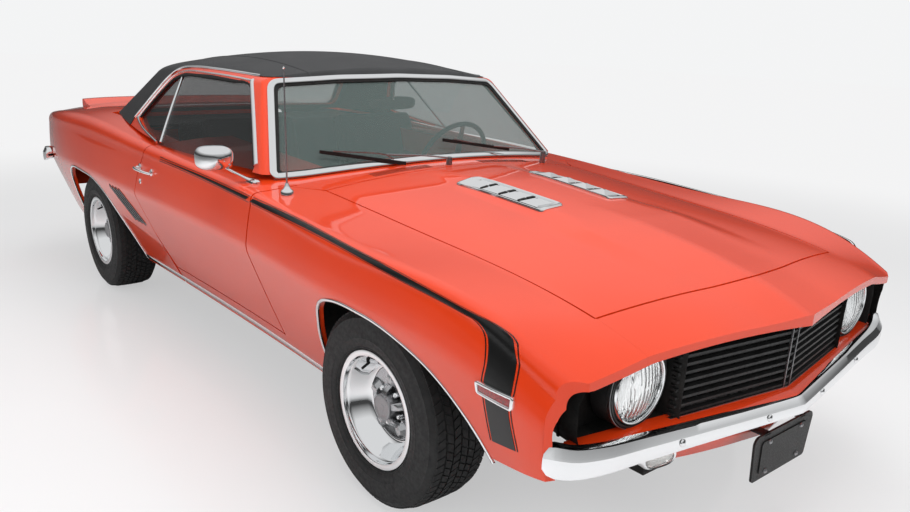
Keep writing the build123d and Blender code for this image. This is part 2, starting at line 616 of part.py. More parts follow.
for name, item in {
    "fender_left": fender_left, "fender_right": mirror(fender_left, about=Plane.XZ), "header_panel": header_panel,
    "hood": hood, "cowl_panel": cowl_panel, "door_left": door_solid, "door_right": mirror(door_solid, about=Plane.XZ),
    "quarter_left": quarter_left, "quarter_right": mirror(quarter_left, about=Plane.XZ), "roof": roof,
    "windshield": windshield, "fixed_glass": [rear_glass] + both_sides(quarter_glass),
    "door_left_glass": door_glass, "door_right_glass": mirror(door_glass, about=Plane.XZ), "grille": grille,
    "front_valance": front_valance, "front_lamps": lamps, "front_bumper": front_bumper, "rear_bumper": rear_bumper,
    "plate_bracket": plate_bracket, "trunk_lid": trunk_lid, "deck_filler": deck_filler, "tail_panel": tail_panel,
    "tail_lamps": tail_lamps, "floor_pan": floor_pan, "trunk_floor": trunk_floor, "firewall": firewall, "rocker_panels": both_sides(rockers), "front_frame": frame_solid,
    "engine_block": engine_block, "rear_axle": rear_axle, "seats": seats, "dashboard": dashboard,
    "steering_wheel": steering_wheel, "inner_mirror": mirror_stalk,
    "hood_vents": vents, "antenna": antenna, "wipers": wipers, "door_mirror": door_mirror, "exhaust": exhaust,
}.items():
    save(name, item)
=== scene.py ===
"""Looks of a two-door hardtop coupe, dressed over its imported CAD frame.

Every length is in metres in the frame of the CAD model: X to the front, Y to the car's left, Z up.
"""

import json
import logging
import math
from dataclasses import dataclass, field
from enum import Enum
from typing import Iterable, Optional, Sequence

import bmesh
import bpy
import numpy as np
from mathutils import Matrix, Vector
from mathutils.bvhtree import BVHTree

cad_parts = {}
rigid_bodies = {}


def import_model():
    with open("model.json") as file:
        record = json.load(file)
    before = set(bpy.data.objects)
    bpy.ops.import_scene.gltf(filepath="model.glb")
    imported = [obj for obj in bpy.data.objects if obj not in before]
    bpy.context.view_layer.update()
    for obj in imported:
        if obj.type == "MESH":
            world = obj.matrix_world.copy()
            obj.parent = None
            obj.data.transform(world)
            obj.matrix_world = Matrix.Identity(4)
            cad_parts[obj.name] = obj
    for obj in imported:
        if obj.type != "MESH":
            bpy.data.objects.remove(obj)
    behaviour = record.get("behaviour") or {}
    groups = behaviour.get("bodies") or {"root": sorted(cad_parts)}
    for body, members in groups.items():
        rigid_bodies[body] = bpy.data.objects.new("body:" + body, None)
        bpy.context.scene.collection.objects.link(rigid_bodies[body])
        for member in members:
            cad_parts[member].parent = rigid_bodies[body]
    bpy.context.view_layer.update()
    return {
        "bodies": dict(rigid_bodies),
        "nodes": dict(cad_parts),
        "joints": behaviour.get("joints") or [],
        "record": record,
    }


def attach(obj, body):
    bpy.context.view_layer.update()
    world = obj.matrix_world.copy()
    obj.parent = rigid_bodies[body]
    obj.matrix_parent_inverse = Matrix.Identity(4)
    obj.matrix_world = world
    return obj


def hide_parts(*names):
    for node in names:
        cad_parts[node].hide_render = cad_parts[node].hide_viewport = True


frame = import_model()
log = logging.getLogger("coupe")

Point = tuple[float, float, float]
Flat = tuple[float, float]


class Side(Enum):
    """Side of the car, with the sign of its Y."""

    LEFT = 1
    RIGHT = -1


class Axis(Enum):
    """Direction along which a flat outline is pushed into a prism."""

    X = 0
    Y = 1
    Z = 2


class Finish:
    """A finish of the car, made once as a material and then reused."""

    def __init__(self, name: str) -> None:
        """Starts an empty Principled material.

        Args:
            name: Plain name of the finish.
        """
        self.material = bpy.data.materials.new(name)
        self.material.use_nodes = True
        self.nodes = self.material.node_tree.nodes
        self.links = self.material.node_tree.links
        self.shader = self.nodes["Principled BSDF"]

    def set(self, **values: object) -> "Finish":
        """Sets shader sockets by name, with underscores for spaces.

        Args:
            values: Socket names and their values.

        Returns:
            This finish.
        """
        for key, value in values.items():
            self.shader.inputs[key.replace("_", " ")].default_value = value
        return self

    def coordinates(self, scale: float, stretch: Point = (1.0, 1.0, 1.0)) -> bpy.types.NodeSocket:
        """Gives Object coordinates in metres times a scale.

        Args:
            scale: Multiplier on all three axes.
            stretch: Further multiplier for each axis.

        Returns:
            The vector socket.
        """
        place = self.nodes.new("ShaderNodeTexCoord")
        mapping = self.nodes.new("ShaderNodeMapping")
        mapping.inputs["Scale"].default_value = [scale * s for s in stretch]
        self.links.new(place.outputs["Object"], mapping.inputs["Vector"])
        return mapping.outputs["Vector"]

    def noise(self, scale: float, detail: float = 4.0, stretch: Point = (1.0, 1.0,
        1.0)) -> bpy.types.NodeSocket:
        """Adds fractal noise and returns its value socket."""
        texture = self.nodes.new("ShaderNodeTexNoise")
        texture.inputs["Scale"].default_value = 1.0
        texture.inputs["Detail"].default_value = detail
        self.links.new(self.coordinates(scale, stretch), texture.inputs["Vector"])
        return texture.outputs["Fac"]

    def cells(self, scale: float, feature: str = "F1") -> bpy.types.NodeSocket:
        """Adds a cell texture and returns its distance socket."""
        texture = self.nodes.new("ShaderNodeTexVoronoi")
        texture.feature = feature
        texture.inputs["Scale"].default_value = 1.0
        self.links.new(self.coordinates(scale), texture.inputs["Vector"])
        return texture.outputs["Distance"]

    def ramp(self, source: bpy.types.NodeSocket, target: str, low: object, high: object,
             span: Flat = (0.3, 0.7)) -> None:
        """Drives a shader socket from a value between two colours or numbers.

        Args:
            source: Value socket.
            target: Name of the shader's socket.
            low: Colour or number at the span's start.
            high: Colour or number at the span's end.
            span: Range of the value that is spread over the two.
        """
        node = self.nodes.new("ShaderNodeMapRange")
        node.inputs["From Min"].default_value, node.inputs["From Max"].default_value = span
        self.links.new(source, node.inputs["Value"])
        if isinstance(low, (int, float)):
            node.inputs["To Min"].default_value, node.inputs["To Max"].default_value = low, high
            self.links.new(node.outputs["Result"], self.shader.inputs[target])
            return
        mix = self.nodes.new("ShaderNodeMix")
        mix.data_type = "RGBA"
        mix.inputs[6].default_value = (*low, 1.0)
        mix.inputs[7].default_value = (*high, 1.0)
        self.links.new(node.outputs["Result"], mix.inputs[0])
        self.links.new(mix.outputs[2], self.shader.inputs[target])

    def bump(self, source: bpy.types.NodeSocket, strength: float, depth: float) -> None:
        """Adds a bump, chained after an earlier one if there is one.

        Args:
            source: Height socket, from 0 to 1.
            strength: Share of the bump that is used.
            depth: Height in metres of the full range.
        """
        node = self.nodes.new("ShaderNodeBump")
        node.inputs["Strength"].default_value = strength
        node.inputs["Distance"].default_value = depth
        self.links.new(source, node.inputs["Height"])
        normal = self.shader.inputs["Normal"]
        if normal.is_linked:
            self.links.new(normal.links[0].from_socket, node.inputs["Normal"])
        self.links.new(node.outputs["Normal"], normal)


@dataclass(frozen=True)
class Palette:
    """All finishes of the car, by name."""

    paint: Finish
    paint_black: Finish
    inner_black: Finish
    chrome: Finish
    satin: Finish
    vinyl: Finish
    glass: Finish
    side_glass: Finish
    lens: Finish
    reflector: Finish
    clear_lens: Finish
    red_lens: Finish
    rubber: Finish
    seal: Finish
    wheel: Finish
    wheel_dark: Finish
    seat: Finish
    plastic: Finish
    iron: Finish

    @staticmethod
    def make() -> "Palette":
        """Builds every finish.

        Returns:
            The palette.
        """
        paint = Finish("orange_red_paint").set(Metallic=0.0, Coat_Weight=1.0, Coat_Roughness=0.03,
                                               Coat_IOR=1.45,
                                               Specular_IOR_Level=0.12)
        paint.ramp(paint.noise(2.1, 3.0), "Base Color", (0.700, 0.042, 0.0050), (0.745, 0.049, 0.0062))
        paint.ramp(paint.noise(900.0, 2.0), "Roughness", 0.30, 0.38)
        paint.bump(paint.noise(260.0, 2.0), 0.05, 0.0002)
        paint_black = Finish("gloss_black_band").set(Base_Color=(0.006, 0.006, 0.006, 1.0), Coat_Weight=0.35,
                                                     Coat_Roughness=0.05, Specular_IOR_Level=0.2)
        paint_black.ramp(paint_black.noise(700.0), "Roughness", 0.28, 0.4)
        inner = Finish("inner_black").set(Specular_IOR_Level=0.3)
        inner.ramp(inner.noise(30.0), "Base Color", (0.010, 0.010, 0.010), (0.022, 0.021, 0.020))
        inner.ramp(inner.noise(120.0), "Roughness", 0.6, 0.85)
        chrome = Finish("chrome").set(Base_Color=(0.86, 0.87, 0.88, 1.0), Metallic=1.0)
        chrome.ramp(chrome.noise(60.0), "Roughness", 0.03, 0.075)
        chrome.bump(chrome.noise(35.0, 2.0), 0.06, 0.0008)
        satin = Finish("satin_metal").set(Base_Color=(0.34, 0.34, 0.35, 1.0), Metallic=1.0)
        satin.ramp(satin.noise(150.0), "Roughness", 0.25, 0.42)
        vinyl = Finish("roof_vinyl").set(Specular_IOR_Level=0.45)
        vinyl.ramp(vinyl.noise(8.0), "Base Color", (0.012, 0.0125, 0.014), (0.020, 0.0205, 0.022))
        vinyl.ramp(vinyl.cells(520.0), "Roughness", 0.36, 0.56)
        vinyl.bump(vinyl.cells(560.0), 0.55, 0.0006)
        vinyl.bump(vinyl.noise(14.0), 0.25, 0.004)
        glass = Finish("tinted_glass").set(Base_Color=(0.130, 0.175, 0.165, 1.0), Roughness=0.02, IOR=1.5,
                                           Alpha=0.34, Coat_Weight=0.4, Coat_Roughness=0.02)
        side_glass = Finish("side_glass").set(Base_Color=(0.015, 0.018, 0.018, 1.0), Roughness=0.02, IOR=1.5,
                                              Alpha=0.42)
        lens = Finish("headlamp_lens").set(Base_Color=(0.97, 0.98, 0.98, 1.0), Roughness=0.02, IOR=1.45,
                                           Transmission_Weight=1.0)
        reflector = Finish("lamp_reflector").set(Base_Color=(0.86, 0.87, 0.88, 1.0), Metallic=1.0)
        reflector.ramp(reflector.noise(90.0), "Roughness", 0.10, 0.2)
        clear_lens = Finish("parking_lens").set(Roughness=0.08, IOR=1.45, Transmission_Weight=0.85,
                                                Base_Color=(0.95, 0.95, 0.93, 1.0))
        clear_lens.bump(clear_lens.cells(240.0), 0.4, 0.001)
        red_lens = Finish("red_lens").set(Coat_Weight=1.0, Coat_Roughness=0.04)
        red_lens.ramp(red_lens.cells(200.0), "Base Color", (0.32, 0.004, 0.004), (0.16, 0.002, 0.002))
        red_lens.ramp(red_lens.noise(80.0), "Roughness", 0.1, 0.25)
        rubber = Finish("tyre_rubber").set(Specular_IOR_Level=0.35)
        rubber.ramp(rubber.noise(40.0), "Base Color", (0.011, 0.011, 0.0115), (0.020, 0.020, 0.020))
        rubber.ramp(rubber.noise(90.0), "Roughness", 0.48, 0.70)
        rubber.bump(rubber.noise(600.0), 0.25, 0.0005)
        seal = Finish("rubber_seal").set(Specular_IOR_Level=0.3)
        seal.ramp(seal.noise(70.0), "Base Color", (0.008, 0.008, 0.008), (0.014, 0.014, 0.014))
        seal.ramp(seal.noise(150.0), "Roughness", 0.55, 0.7)
        wheel = Finish("wheel_silver").set(Base_Color=(0.46, 0.465, 0.475, 1.0), Metallic=1.0)
        wheel.ramp(wheel.noise(45.0), "Roughness", 0.14, 0.30)
        wheel_dark = Finish("wheel_grey").set(Metallic=0.6)
        wheel_dark.ramp(wheel_dark.noise(60.0), "Base Color", (0.10, 0.10, 0.105), (0.17, 0.17, 0.175))
        wheel_dark.ramp(wheel_dark.noise(160.0), "Roughness", 0.35, 0.5)
        seat = Finish("seat_vinyl").set(Specular_IOR_Level=0.4, Sheen_Weight=0.05)
        seat.ramp(seat.noise(12.0), "Base Color", (0.010, 0.010, 0.0105), (0.018, 0.018, 0.018))
        seat.ramp(seat.noise(100.0), "Roughness", 0.38, 0.55)
        seat.bump(seat.cells(700.0), 0.35, 0.0004)
        plastic = Finish("moulded_black").set(Specular_IOR_Level=0.4)
        plastic.ramp(plastic.noise(25.0), "Base Color", (0.010, 0.010, 0.010), (0.019, 0.019, 0.019))
        plastic.ramp(plastic.noise(200.0), "Roughness", 0.38, 0.6)
        iron = Finish("cast_iron").set(Metallic=0.4)
        iron.ramp(iron.noise(50.0), "Base Color", (0.035, 0.035, 0.036), (0.075, 0.073, 0.07))
        iron.ramp(iron.noise(150.0), "Roughness", 0.5, 0.75)
        return Palette(paint, paint_black, inner, chrome, satin, vinyl, glass, side_glass, lens, reflector,
                       clear_lens,
                       red_lens, rubber, seal, wheel, wheel_dark, seat, plastic, iron)


class Maker:
    """Turns lists of points into finished mesh objects."""

    @staticmethod
    def mesh(name: str, points: Iterable[Sequence[float]], faces: Iterable[Sequence[int]], *finishes: Finish,
             sharp: float = 35.0) -> bpy.types.Object:
        """Makes an object from points and faces.

        Args:
            name: Name of the piece.
            points: Its vertices.
            faces: Its faces as vertex numbers.
            finishes: Finishes in slot order.
            sharp: Edges over this angle in degrees stay sharp.

        Returns:
            The new object, with smooth faces.
        """
        data = bpy.data.meshes.new(name)
        data.from_pydata([tuple(map(float, p)) for p in points], [], [list(f) for f in faces])
        data.validate()
        for finish in finishes:
            data.materials.append(finish.material)
        data.shade_smooth()
        data.set_sharp_from_angle(angle=math.radians(sharp))
        thing = bpy.data.objects.new(name, data)
        bpy.context.scene.collection.objects.link(thing)
        return thing

    @staticmethod
    def repair(thing: bpy.types.Object, merge: float = 1e-5) -> bpy.types.Object:
        """Merges doubled points and points every face outwards."""
        shape = bmesh.new()
        shape.from_mesh(thing.data)
        bmesh.ops.remove_doubles(shape, verts=shape.verts, dist=merge)
        bmesh.ops.recalc_face_normals(shape, faces=shape.faces)
        shape.to_mesh(thing.data)
        shape.free()
        return thing

    @staticmethod
    def loft(name: str, rings: Sequence[Sequence[Sequence[float]]], *finishes: Finish, closed: bool = True,
             caps: bool = True, loop: bool = False, sharp: float = 35.0) -> bpy.types.Object:
        """Skins a row of rings with equal point counts.

        Args:
            name: Name of the piece.
            rings: Rings of points.
            finishes: Finishes in slot order.
            closed: Whether each ring closes on itself.
            caps: Whether the first and last ring are filled.
            loop: Whether the last ring joins the first.
            sharp: Sharp edge angle in degrees.

        Returns:
            The new object.
        """
        count = len(rings[0])
        points = [p for ring in rings for p in ring]
        faces: list[list[int]] = []
        span = count if closed else count - 1
        rows = len(rings) if loop else len(rings) - 1
        for i in range(rows):
            low, high = i * count, ((i + 1) % len(rings)) * count
            for j in range(span):
                k = (j + 1) % count
                faces.append([low + j, low + k, high + k, high + j])
        if caps and closed and not loop:
            faces.append(list(range(count))[::-1])
            faces.append([(len(rings) - 1) * count + j for j in range(count)])
        return Maker.repair(Maker.mesh(name, points, faces, *finishes, sharp=sharp))

    @staticmethod
    def sweep(name: str, path: Sequence[Sequence[float]], profile: Sequence[Flat], *finishes: Finish,
              outward: Optional[Sequence[Sequence[float]]] = None, loop: bool = False,
              scale: Optional[Sequence[float]] = None, sharp: float = 35.0) -> bpy.types.Object:
        """Carries a closed profile along a path.

        Args:
            name: Name of the piece.
            path: Points of the path.
            profile: Profile points as (across, outward).
            finishes: Finishes in slot order.
            outward: Direction of the profile's second axis at each path point.
            loop: Whether the path closes on itself.
            scale: Size of the profile at each path point.
            sharp: Sharp edge angle in degrees.

        Returns:
            The new object.
        """
        line = np.asarray(path, float)
        count = len(line)
        ahead = np.roll(line, -1, axis=0) - np.roll(line, 1, axis=0)
        if not loop:
            ahead[0], ahead[-1] = line[1] - line[0], line[-1] - line[-2]
        ahead /= np.linalg.norm(ahead, axis=1)[:, None]
        up = np.tile((0.0, 0.0, 1.0), (count, 1)) if outward is None else np.asarray(outward, float)
        up = up - (up * ahead).sum(1)[:, None] * ahead
        up /= np.linalg.norm(up, axis=1)[:, None]
        across = np.cross(ahead, up)
        size = np.ones(count) if scale is None else np.asarray(scale, float)
        rings = [[line[i] + size[i] * (a * across[i] + b * up[i]) for a, b in profile] for i in range(count)]
        return Maker.loft(name, rings, *finishes, loop=loop, sharp=sharp)

    @staticmethod
    def revolve(name: str, profile: Sequence[Flat], centre: Point, axis: Point, *finishes: Finish,
                steps: int = 64,
                sharp: float = 35.0) -> bpy.types.Object:
        """Turns an open or closed profile of (radius, along) round an axis.

        Args:
            name: Name of the piece.
            profile: Points as radius and distance along the axis.
            centre: Point on the axis where the distance is 0.
            axis: Direction of the axis.
            finishes: Finishes in slot order.
            steps: Points round the axis.
            sharp: Sharp edge angle in degrees.

        Returns:
            The new object.
        """
        turn = Vector((0, 0, 1)).rotation_difference(Vector(axis)).to_matrix()
        rings = []
        for k in range(steps):
            angle = 2 * math.pi * k / steps
            rings.append([Vector(centre) + turn @ Vector((r * math.cos(angle), r * math.sin(angle), h))
                          for r, h in profile])
        shape = Maker.loft(name, rings, *finishes, closed=True, loop=True, sharp=sharp)
        return shape

    @staticmethod
    def tube(name: str, path: Sequence[Sequence[float]], radius: float, *finishes: Finish, steps: int = 12,
             scale: Optional[Sequence[float]] = None, loop: bool = False) -> bpy.types.Object:
        """Round bar along a path."""
        ring = [(radius * math.cos(2 * math.pi * k / steps), radius * math.sin(2 * math.pi * k / steps))
                for k in range(steps)]
        line = np.asarray(path, float)
        ahead = line[-1] - line[0]
        up = (0.0, 0.0, 1.0) if abs(ahead[2]) < 0.8 * np.linalg.norm(ahead) or loop else (1.0, 0.0, 0.0)
        return Maker.sweep(name, line, ring, *finishes, outward=[up] * len(line), loop=loop, scale=scale)

    @staticmethod
    def box(name: str, low: Point, high: Point, *finishes: Finish, bevel: float = 0.004) -> bpy.types.Object:
        """Block with rounded edges between two corners.

        Args:
            name: Name of the piece.
            low: Lowest corner.
            high: Highest corner.
            finishes: Finishes in slot order.
            bevel: Radius of its edges.

        Returns:
            The new object.
        """
        shape = bmesh.new()
        bmesh.ops.create_cube(shape, size=1.0)
        for vertex in shape.verts:
            vertex.co = Vector([(a + b) / 2 + c * (b - a) for a, b, c in zip(low, high, vertex.co)])
        if bevel > 0:
            bmesh.ops.bevel(shape, geom=shape.edges, offset=bevel, segments=3, affect="EDGES", profile=0.5)
        data = bpy.data.meshes.new(name)
        shape.to_mesh(data)
        shape.free()
        for finish in finishes:
            data.materials.append(finish.material)
        data.shade_smooth()
        data.set_sharp_from_angle(angle=math.radians(40))
        thing = bpy.data.objects.new(name, data)
        bpy.context.scene.collection.objects.link(thing)
        return thing

    @staticmethod
    def prism(points: Sequence[Flat], axis: Axis, low: float, high: float) -> bpy.types.Object:
        """Closed block with a flat outline, for cutting.

        Args:
            points: Outline in the two other axes, in X, Y, Z order.
            axis: Direction of the prism.
            low: Where it starts.
            high: Where it ends.

        Returns:
            The cutter.
        """
        def place(point: Flat, depth: float) -> Point:
            """Point of the outline at a depth."""
            a, b = point
            return {Axis.X: (depth, a, b), Axis.Y: (a, depth, b), Axis.Z: (a, b, depth)}[axis]

        rings = [[place(p, low) for p in points], [place(p, high) for p in points]]
        return Maker.loft("cutter", rings)

    @staticmethod
    def cut(thing: bpy.types.Object, cutter: bpy.types.Object, keep_inside: bool = False,
            mend: bool = False) -> bpy.types.Object:
        """Cuts an object with another one, which is used up.

        Args:
            thing: Object that is cut.
            cutter: Closed mesh that cuts.
            keep_inside: Keeps what lies inside the cutter in place of what lies outside.
            mend: Also resolves folds of the object's own wall, which takes longer.

        Returns:
            The cut object.
        """
        modifier = thing.modifiers.new("cut", "BOOLEAN")
        modifier.object = cutter
        modifier.operation = "INTERSECT" if keep_inside else "DIFFERENCE"
        modifier.solver = "EXACT"
        modifier.use_self = mend
        Maker.apply(thing)
        bpy.data.objects.remove(cutter, do_unlink=True)
        return thing

    @staticmethod
    def apply(thing: bpy.types.Object) -> bpy.types.Object:
        """Turns the object's modifiers into plain mesh."""
        bpy.context.view_layer.update()
        seen = thing.evaluated_get(bpy.context.evaluated_depsgraph_get())
        data = bpy.data.meshes.new_from_object(seen)
        thing.modifiers.clear()
        old = thing.data
        thing.data = data
        bpy.data.meshes.remove(old)
        return thing

    @staticmethod
    def smooth(thing: bpy.types.Object, sharp: float = 35.0) -> bpy.types.Object:
        """Shades an object smooth up to an angle in degrees."""
        thing.data.shade_smooth()
        thing.data.set_sharp_from_angle(angle=math.radians(sharp))
        return thing

    @staticmethod
    def join(name: str, things: Sequence[bpy.types.Object]) -> bpy.types.Object:
        """Joins objects into one piece.

        Args:
            name: Name of the piece.
            things: Objects with meshes.

        Returns:
            The joined object.
        """
        finishes: list[bpy.types.Material] = []
        shape = bmesh.new()
        for thing in things:
            start = len(shape.faces)
            shape.from_mesh(thing.data)
            shape.faces.ensure_lookup_table()
            slots = []
            for material in thing.data.materials:
                if material not in finishes:
                    finishes.append(material)
                slots.append(finishes.index(material))
            for face in shape.faces[start:]:
                face.material_index = slots[face.material_index] if slots else 0
        data = bpy.data.meshes.new(name)
        shape.to_mesh(data)
        shape.free()
        for material in finishes:
            data.materials.append(material)
        for thing in things:
            bpy.data.objects.remove(thing, do_unlink=True)
        whole = bpy.data.objects.new(name, data)
        bpy.context.scene.collection.objects.link(whole)
        return whole

    @staticmethod
    def mirrored(thing: bpy.types.Object, name: str) -> bpy.types.Object:
        """Copy of an object on the other side of the centre line."""
        data = thing.data.copy()
        shape = bmesh.new()
        shape.from_mesh(data)
        for vertex in shape.verts:
            vertex.co.y = -vertex.co.y
        bmesh.ops.reverse_faces(shape, faces=shape.faces)
        shape.to_mesh(data)
        shape.free()
        copy = bpy.data.objects.new(name, data)
        bpy.context.scene.collection.objects.link(copy)
        return copy


def own(thing: bpy.types.Object, body: str, slot: str, *nodes: str) -> bpy.types.Object:
    """Hands a finished piece to the frame.

    Args:
        thing: The piece.
        body: Body that it rides on.
        slot: Material slot of the piece; not used.
        nodes: CAD nodes that it stands for.

    Returns:
        The piece.
    """
    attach(thing, body)
    if nodes:
        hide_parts(*nodes)
    log.info("%s rides on %s", thing.name, body)
    return thing


def curve_through(points: Sequence[Sequence[float]], count: int) -> np.ndarray:
    """Evenly spaced points on a smooth curve through given points.

    Args:
        points: Points that it passes through.
        count: How many points come back.

    Returns:
        Array of points.
    """
    base = np.asarray(points, float)
    padded = np.vstack([2 * base[0] - base[1], base, 2 * base[-1] - base[-2]])
    out = []
    for i in range(len(base) - 1):
        a, b, c, d = padded[i:i + 4]
        ta, tb, tc = (np.linalg.norm(q - p) ** 0.5 + 1e-9 for p, q in ((a, b), (b, c), (c, d)))
        m1 = tb * ((b - a) / ta - (c - a) / (ta + tb) + (c - b) / tb)
        m2 = tb * ((c - b) / tb - (d - b) / (tb + tc) + (d - c) / tc)
        for s in np.linspace(0, 1, 24, endpoint=False):
            out.append((2 * s**3 - 3 * s**2 + 1) * b + (s**3 - 2 * s**2 + s) * m1 + (-2 * s**3 + 3 * s**2) * c
                       + (s**3 - s**2) * m2)
    out.append(base[-1])
    line = np.array(out)
    run = np.concatenate([[0], np.cumsum(np.linalg.norm(np.diff(line, axis=0), axis=1))])
    want = np.linspace(0, run[-1], count)
    return np.stack([np.interp(want, run, line[:, k]) for k in range(line.shape[1])], axis=1)


@dataclass
class BodySurface:
    """Outer skin of the lower body, through a row of cross-sections.

    Each row holds x, then z and half width y of the lower edge, the side crease, the side under the
    shoulder, the shoulder's top and the hood or deck seam, then z on the centre line.
    """

    rows: tuple[tuple[float, ...], ...] = (
        (-2.300, 0.400, 0.760, 0.640, 0.850, 0.830, 0.838, 0.900, 0.780, 0.922, 0.640, 0.936),
        (-1.950, 0.320, 0.790, 0.670, 0.905, 0.860, 0.890, 0.938, 0.815, 0.958, 0.645, 0.974),
        (-1.313, 0.260, 0.770, 0.690, 0.936, 0.880, 0.905, 0.965, 0.830, 0.990, 0.650, 1.008),
        (-0.400, 0.240, 0.735, 0.690, 0.926, 0.870, 0.900, 0.928, 0.850, 0.950, 0.655, 0.975),
        (0.704, 0.240, 0.735, 0.690, 0.922, 0.845, 0.895, 0.889, 0.846, 0.904, 0.655, 0.948),
        (1.432, 0.260, 0.770, 0.680, 0.938, 0.805, 0.915, 0.846, 0.862, 0.850, 0.636, 0.902),
        (2.000, 0.330, 0.830, 0.640, 0.912, 0.745, 0.888, 0.786, 0.838, 0.790, 0.622, 0.834),
        (2.230, 0.400, 0.850, 0.560, 0.868, 0.630, 0.845, 0.688, 0.794, 0.733, 0.617, 0.776),
        (2.350, 0.420, 0.800, 0.520, 0.810, 0.570, 0.790, 0.630, 0.750, 0.690, 0.600, 0.726),
    )
    crease_radius: float = 0.030
    hood_rise: float = 0.013
    hood_slope: float = 0.022
    _second: np.ndarray = field(default_factory=lambda: np.zeros(0))

    def __post_init__(self) -> None:
        """Solves the smooth curves that run along the car through the rows."""
        table = np.array(self.rows)
        x, y = table[:, 0], table[:, 1:]
        count = len(x)
        step = np.diff(x)
        system, right = np.eye(count), np.zeros_like(y)
        for i in range(1, count - 1):
            system[i, i - 1:i + 2] = step[i - 1], 2 * (step[i - 1] + step[i]), step[i]
            right[i] = 6 * ((y[i + 1] - y[i]) / step[i] - (y[i] - y[i - 1]) / step[i - 1])
        self._second = np.linalg.solve(system, right)

    def row(self, x: float) -> np.ndarray:
        """Section values at one station, from z of the lower edge on."""
        table = np.array(self.rows)
        xs, ys = table[:, 0], table[:, 1:]
        i = int(np.clip(np.searchsorted(xs, x) - 1, 0, len(xs) - 2))
        h = xs[i + 1] - xs[i]
        a, b = (xs[i + 1] - x) / h, (x - xs[i]) / h
        return (a * ys[i] + b * ys[i + 1]
                + ((a**3 - a) * self._second[i] + (b**3 - b) * self._second[i + 1]) * h * h / 6)

    def section(self, x: float, inset: float = 0.0, rows: tuple[int, int, int, int, int] = (8, 8, 10, 6,
        16)) -> np.ndarray:
        """Points of the left half section from the lower edge to the centre line.

        Args:
            x: Station.
            inset: How far the section is moved in.
            rows: Points on each of its five stretches.

        Returns:
            Array of (y, z).
        """
        z0, y0, z1, y1, z2, y2, z3, y3, z4, y4, z5 = self.row(x)
        low = np.array((y0 - inset, z0))
        crease = np.array((y1 - inset, z1))
        side = np.array((y2 - inset, z2 - inset))
        edge = np.array((y3 - inset, z3 - inset))
        seam = np.array((y4 - inset, z4 - inset))
        corner = np.array((side[0] + 0.004, edge[1] + 0.002))
        out: list[np.ndarray] = []

        def line(a: np.ndarray, b: np.ndarray, count: int) -> None:
            """Adds points from a up to, not including, b."""
            out.extend(a + (b - a) * s for s in np.linspace(0, 1, count, endpoint=False))

        def bend(a: np.ndarray, c: np.ndarray, b: np.ndarray, count: int) -> None:
            """Adds points of a bend from a to b with its corner at c."""
            out.extend((1 - s)**2 * a + 2 * s * (1 - s) * c + s * s * b for s in np.linspace(0, 1, count,
                endpoint=False))

        down = (low - crease) / np.linalg.norm(low - crease)
        up = (side - crease) / np.linalg.norm(side - crease)
        before, after = crease + down * self.crease_radius, crease + up * self.crease_radius
        belly = (low + before) / 2 + np.array((0.006, 0.0))
        bend(low, belly, before, rows[0])
        bend(before, crease, after, 5)
        bend(after, (after + side) / 2 + np.array((0.003, 0.0)), side, rows[1])
        bend(side, corner, edge, rows[2])
        flat = (seam - edge)
        line(edge, edge + flat, rows[3])
        for s in np.linspace(0, 1, rows[4]):
            y = seam[0] * (1 - s)
            z = (z5 - inset) + (seam[1] - z5 + inset) * (y / max(seam[0], 1e-6))**2
            out.append(np.array((y, z + (self.hood_shape(x, y) if inset == 0 else 0.0))))
        return np.array(out)

    def hood_shape(self, x: float, y: float) -> float:
        """Height that the hood's raised middle and its spine add."""
        if x < 0.80:
            return 0.0
        edge = 0.205 + 0.075 * (x - 0.96)
        fade = min(1.0, (x - 0.80) / 0.35) * min(1.0, max(0.0, (2.05 - x) / 0.35))
        t = np.clip((edge + self.hood_slope / 2 - abs(y)) / self.hood_slope, 0, 1)
        plateau = self.hood_rise * fade * t * t * (3 - 2 * t)
        ridge_fade = min(1.0, max(0.0, (x - 1.5) / 0.5))
        return float(plateau + 0.014 * ridge_fade * max(0.0, 1 - abs(y) / 0.20)**1.4)

    def skin(self, x_from: float, x_to: float, steps: int, inset: float = 0.0,
             both: bool = False) -> list[np.ndarray]:
        """Rings of the skin along the car.

        Args:
            x_from: First station.
            x_to: Last station.
            steps: Number of stations.
            inset: How far it is moved in.
            both: Whether the right half is added after the left.

        Returns:
            One array of points per station.
        """
        rings = []
        for x in np.linspace(x_from, x_to, steps):
            half = self.section(x, inset)
            ring = np.column_stack([np.full(len(half), x), half])
            if both:
                other = ring[-2::-1].copy()
                other[:, 1] *= -1
                ring = np.vstack([ring, other])
            rings.append(ring)
        return rings

    def shell(self, name: str, x_from: float, x_to: float, steps: int, thickness: float, finish: Finish,
              both: bool = False) -> bpy.types.Object:
        """Closed wall of even thickness under a stretch of the skin."""
        outer = self.skin(x_from, x_to, steps, 0.0, both)
        inner = self.skin(x_from, x_to, steps, thickness, both)
        rings = [np.vstack([o, i[::-1]]) for o, i in zip(outer, inner)]
        return Maker.loft(name, rings, finish)

    def side_point(self, x: float, z: float, lift: float = 0.0) -> np.ndarray:
        """Point on the left side of the skin at a height, lifted off it.

        Args:
            x: Station.
            z: Height.
            lift: Distance off the skin.

        Returns:
            The point.
        """
        half = self.section(x)
        top = int(np.argmax(half[:, 1] >= half[:27, 1].max() - 1e-9)) or 27
        part = half[:max(top, 20) + 1]
        y = float(np.interp(z, part[:, 1], part[:, 0]))
        below = float(np.interp(z - 0.004, part[:, 1], part[:, 0]))
        above = float(np.interp(z + 0.004, part[:, 1], part[:, 0]))
        normal = np.array((0.0, 0.008, below - above))
        normal /= np.linalg.norm(normal)
        return np.array((x, y, z)) + normal * lift

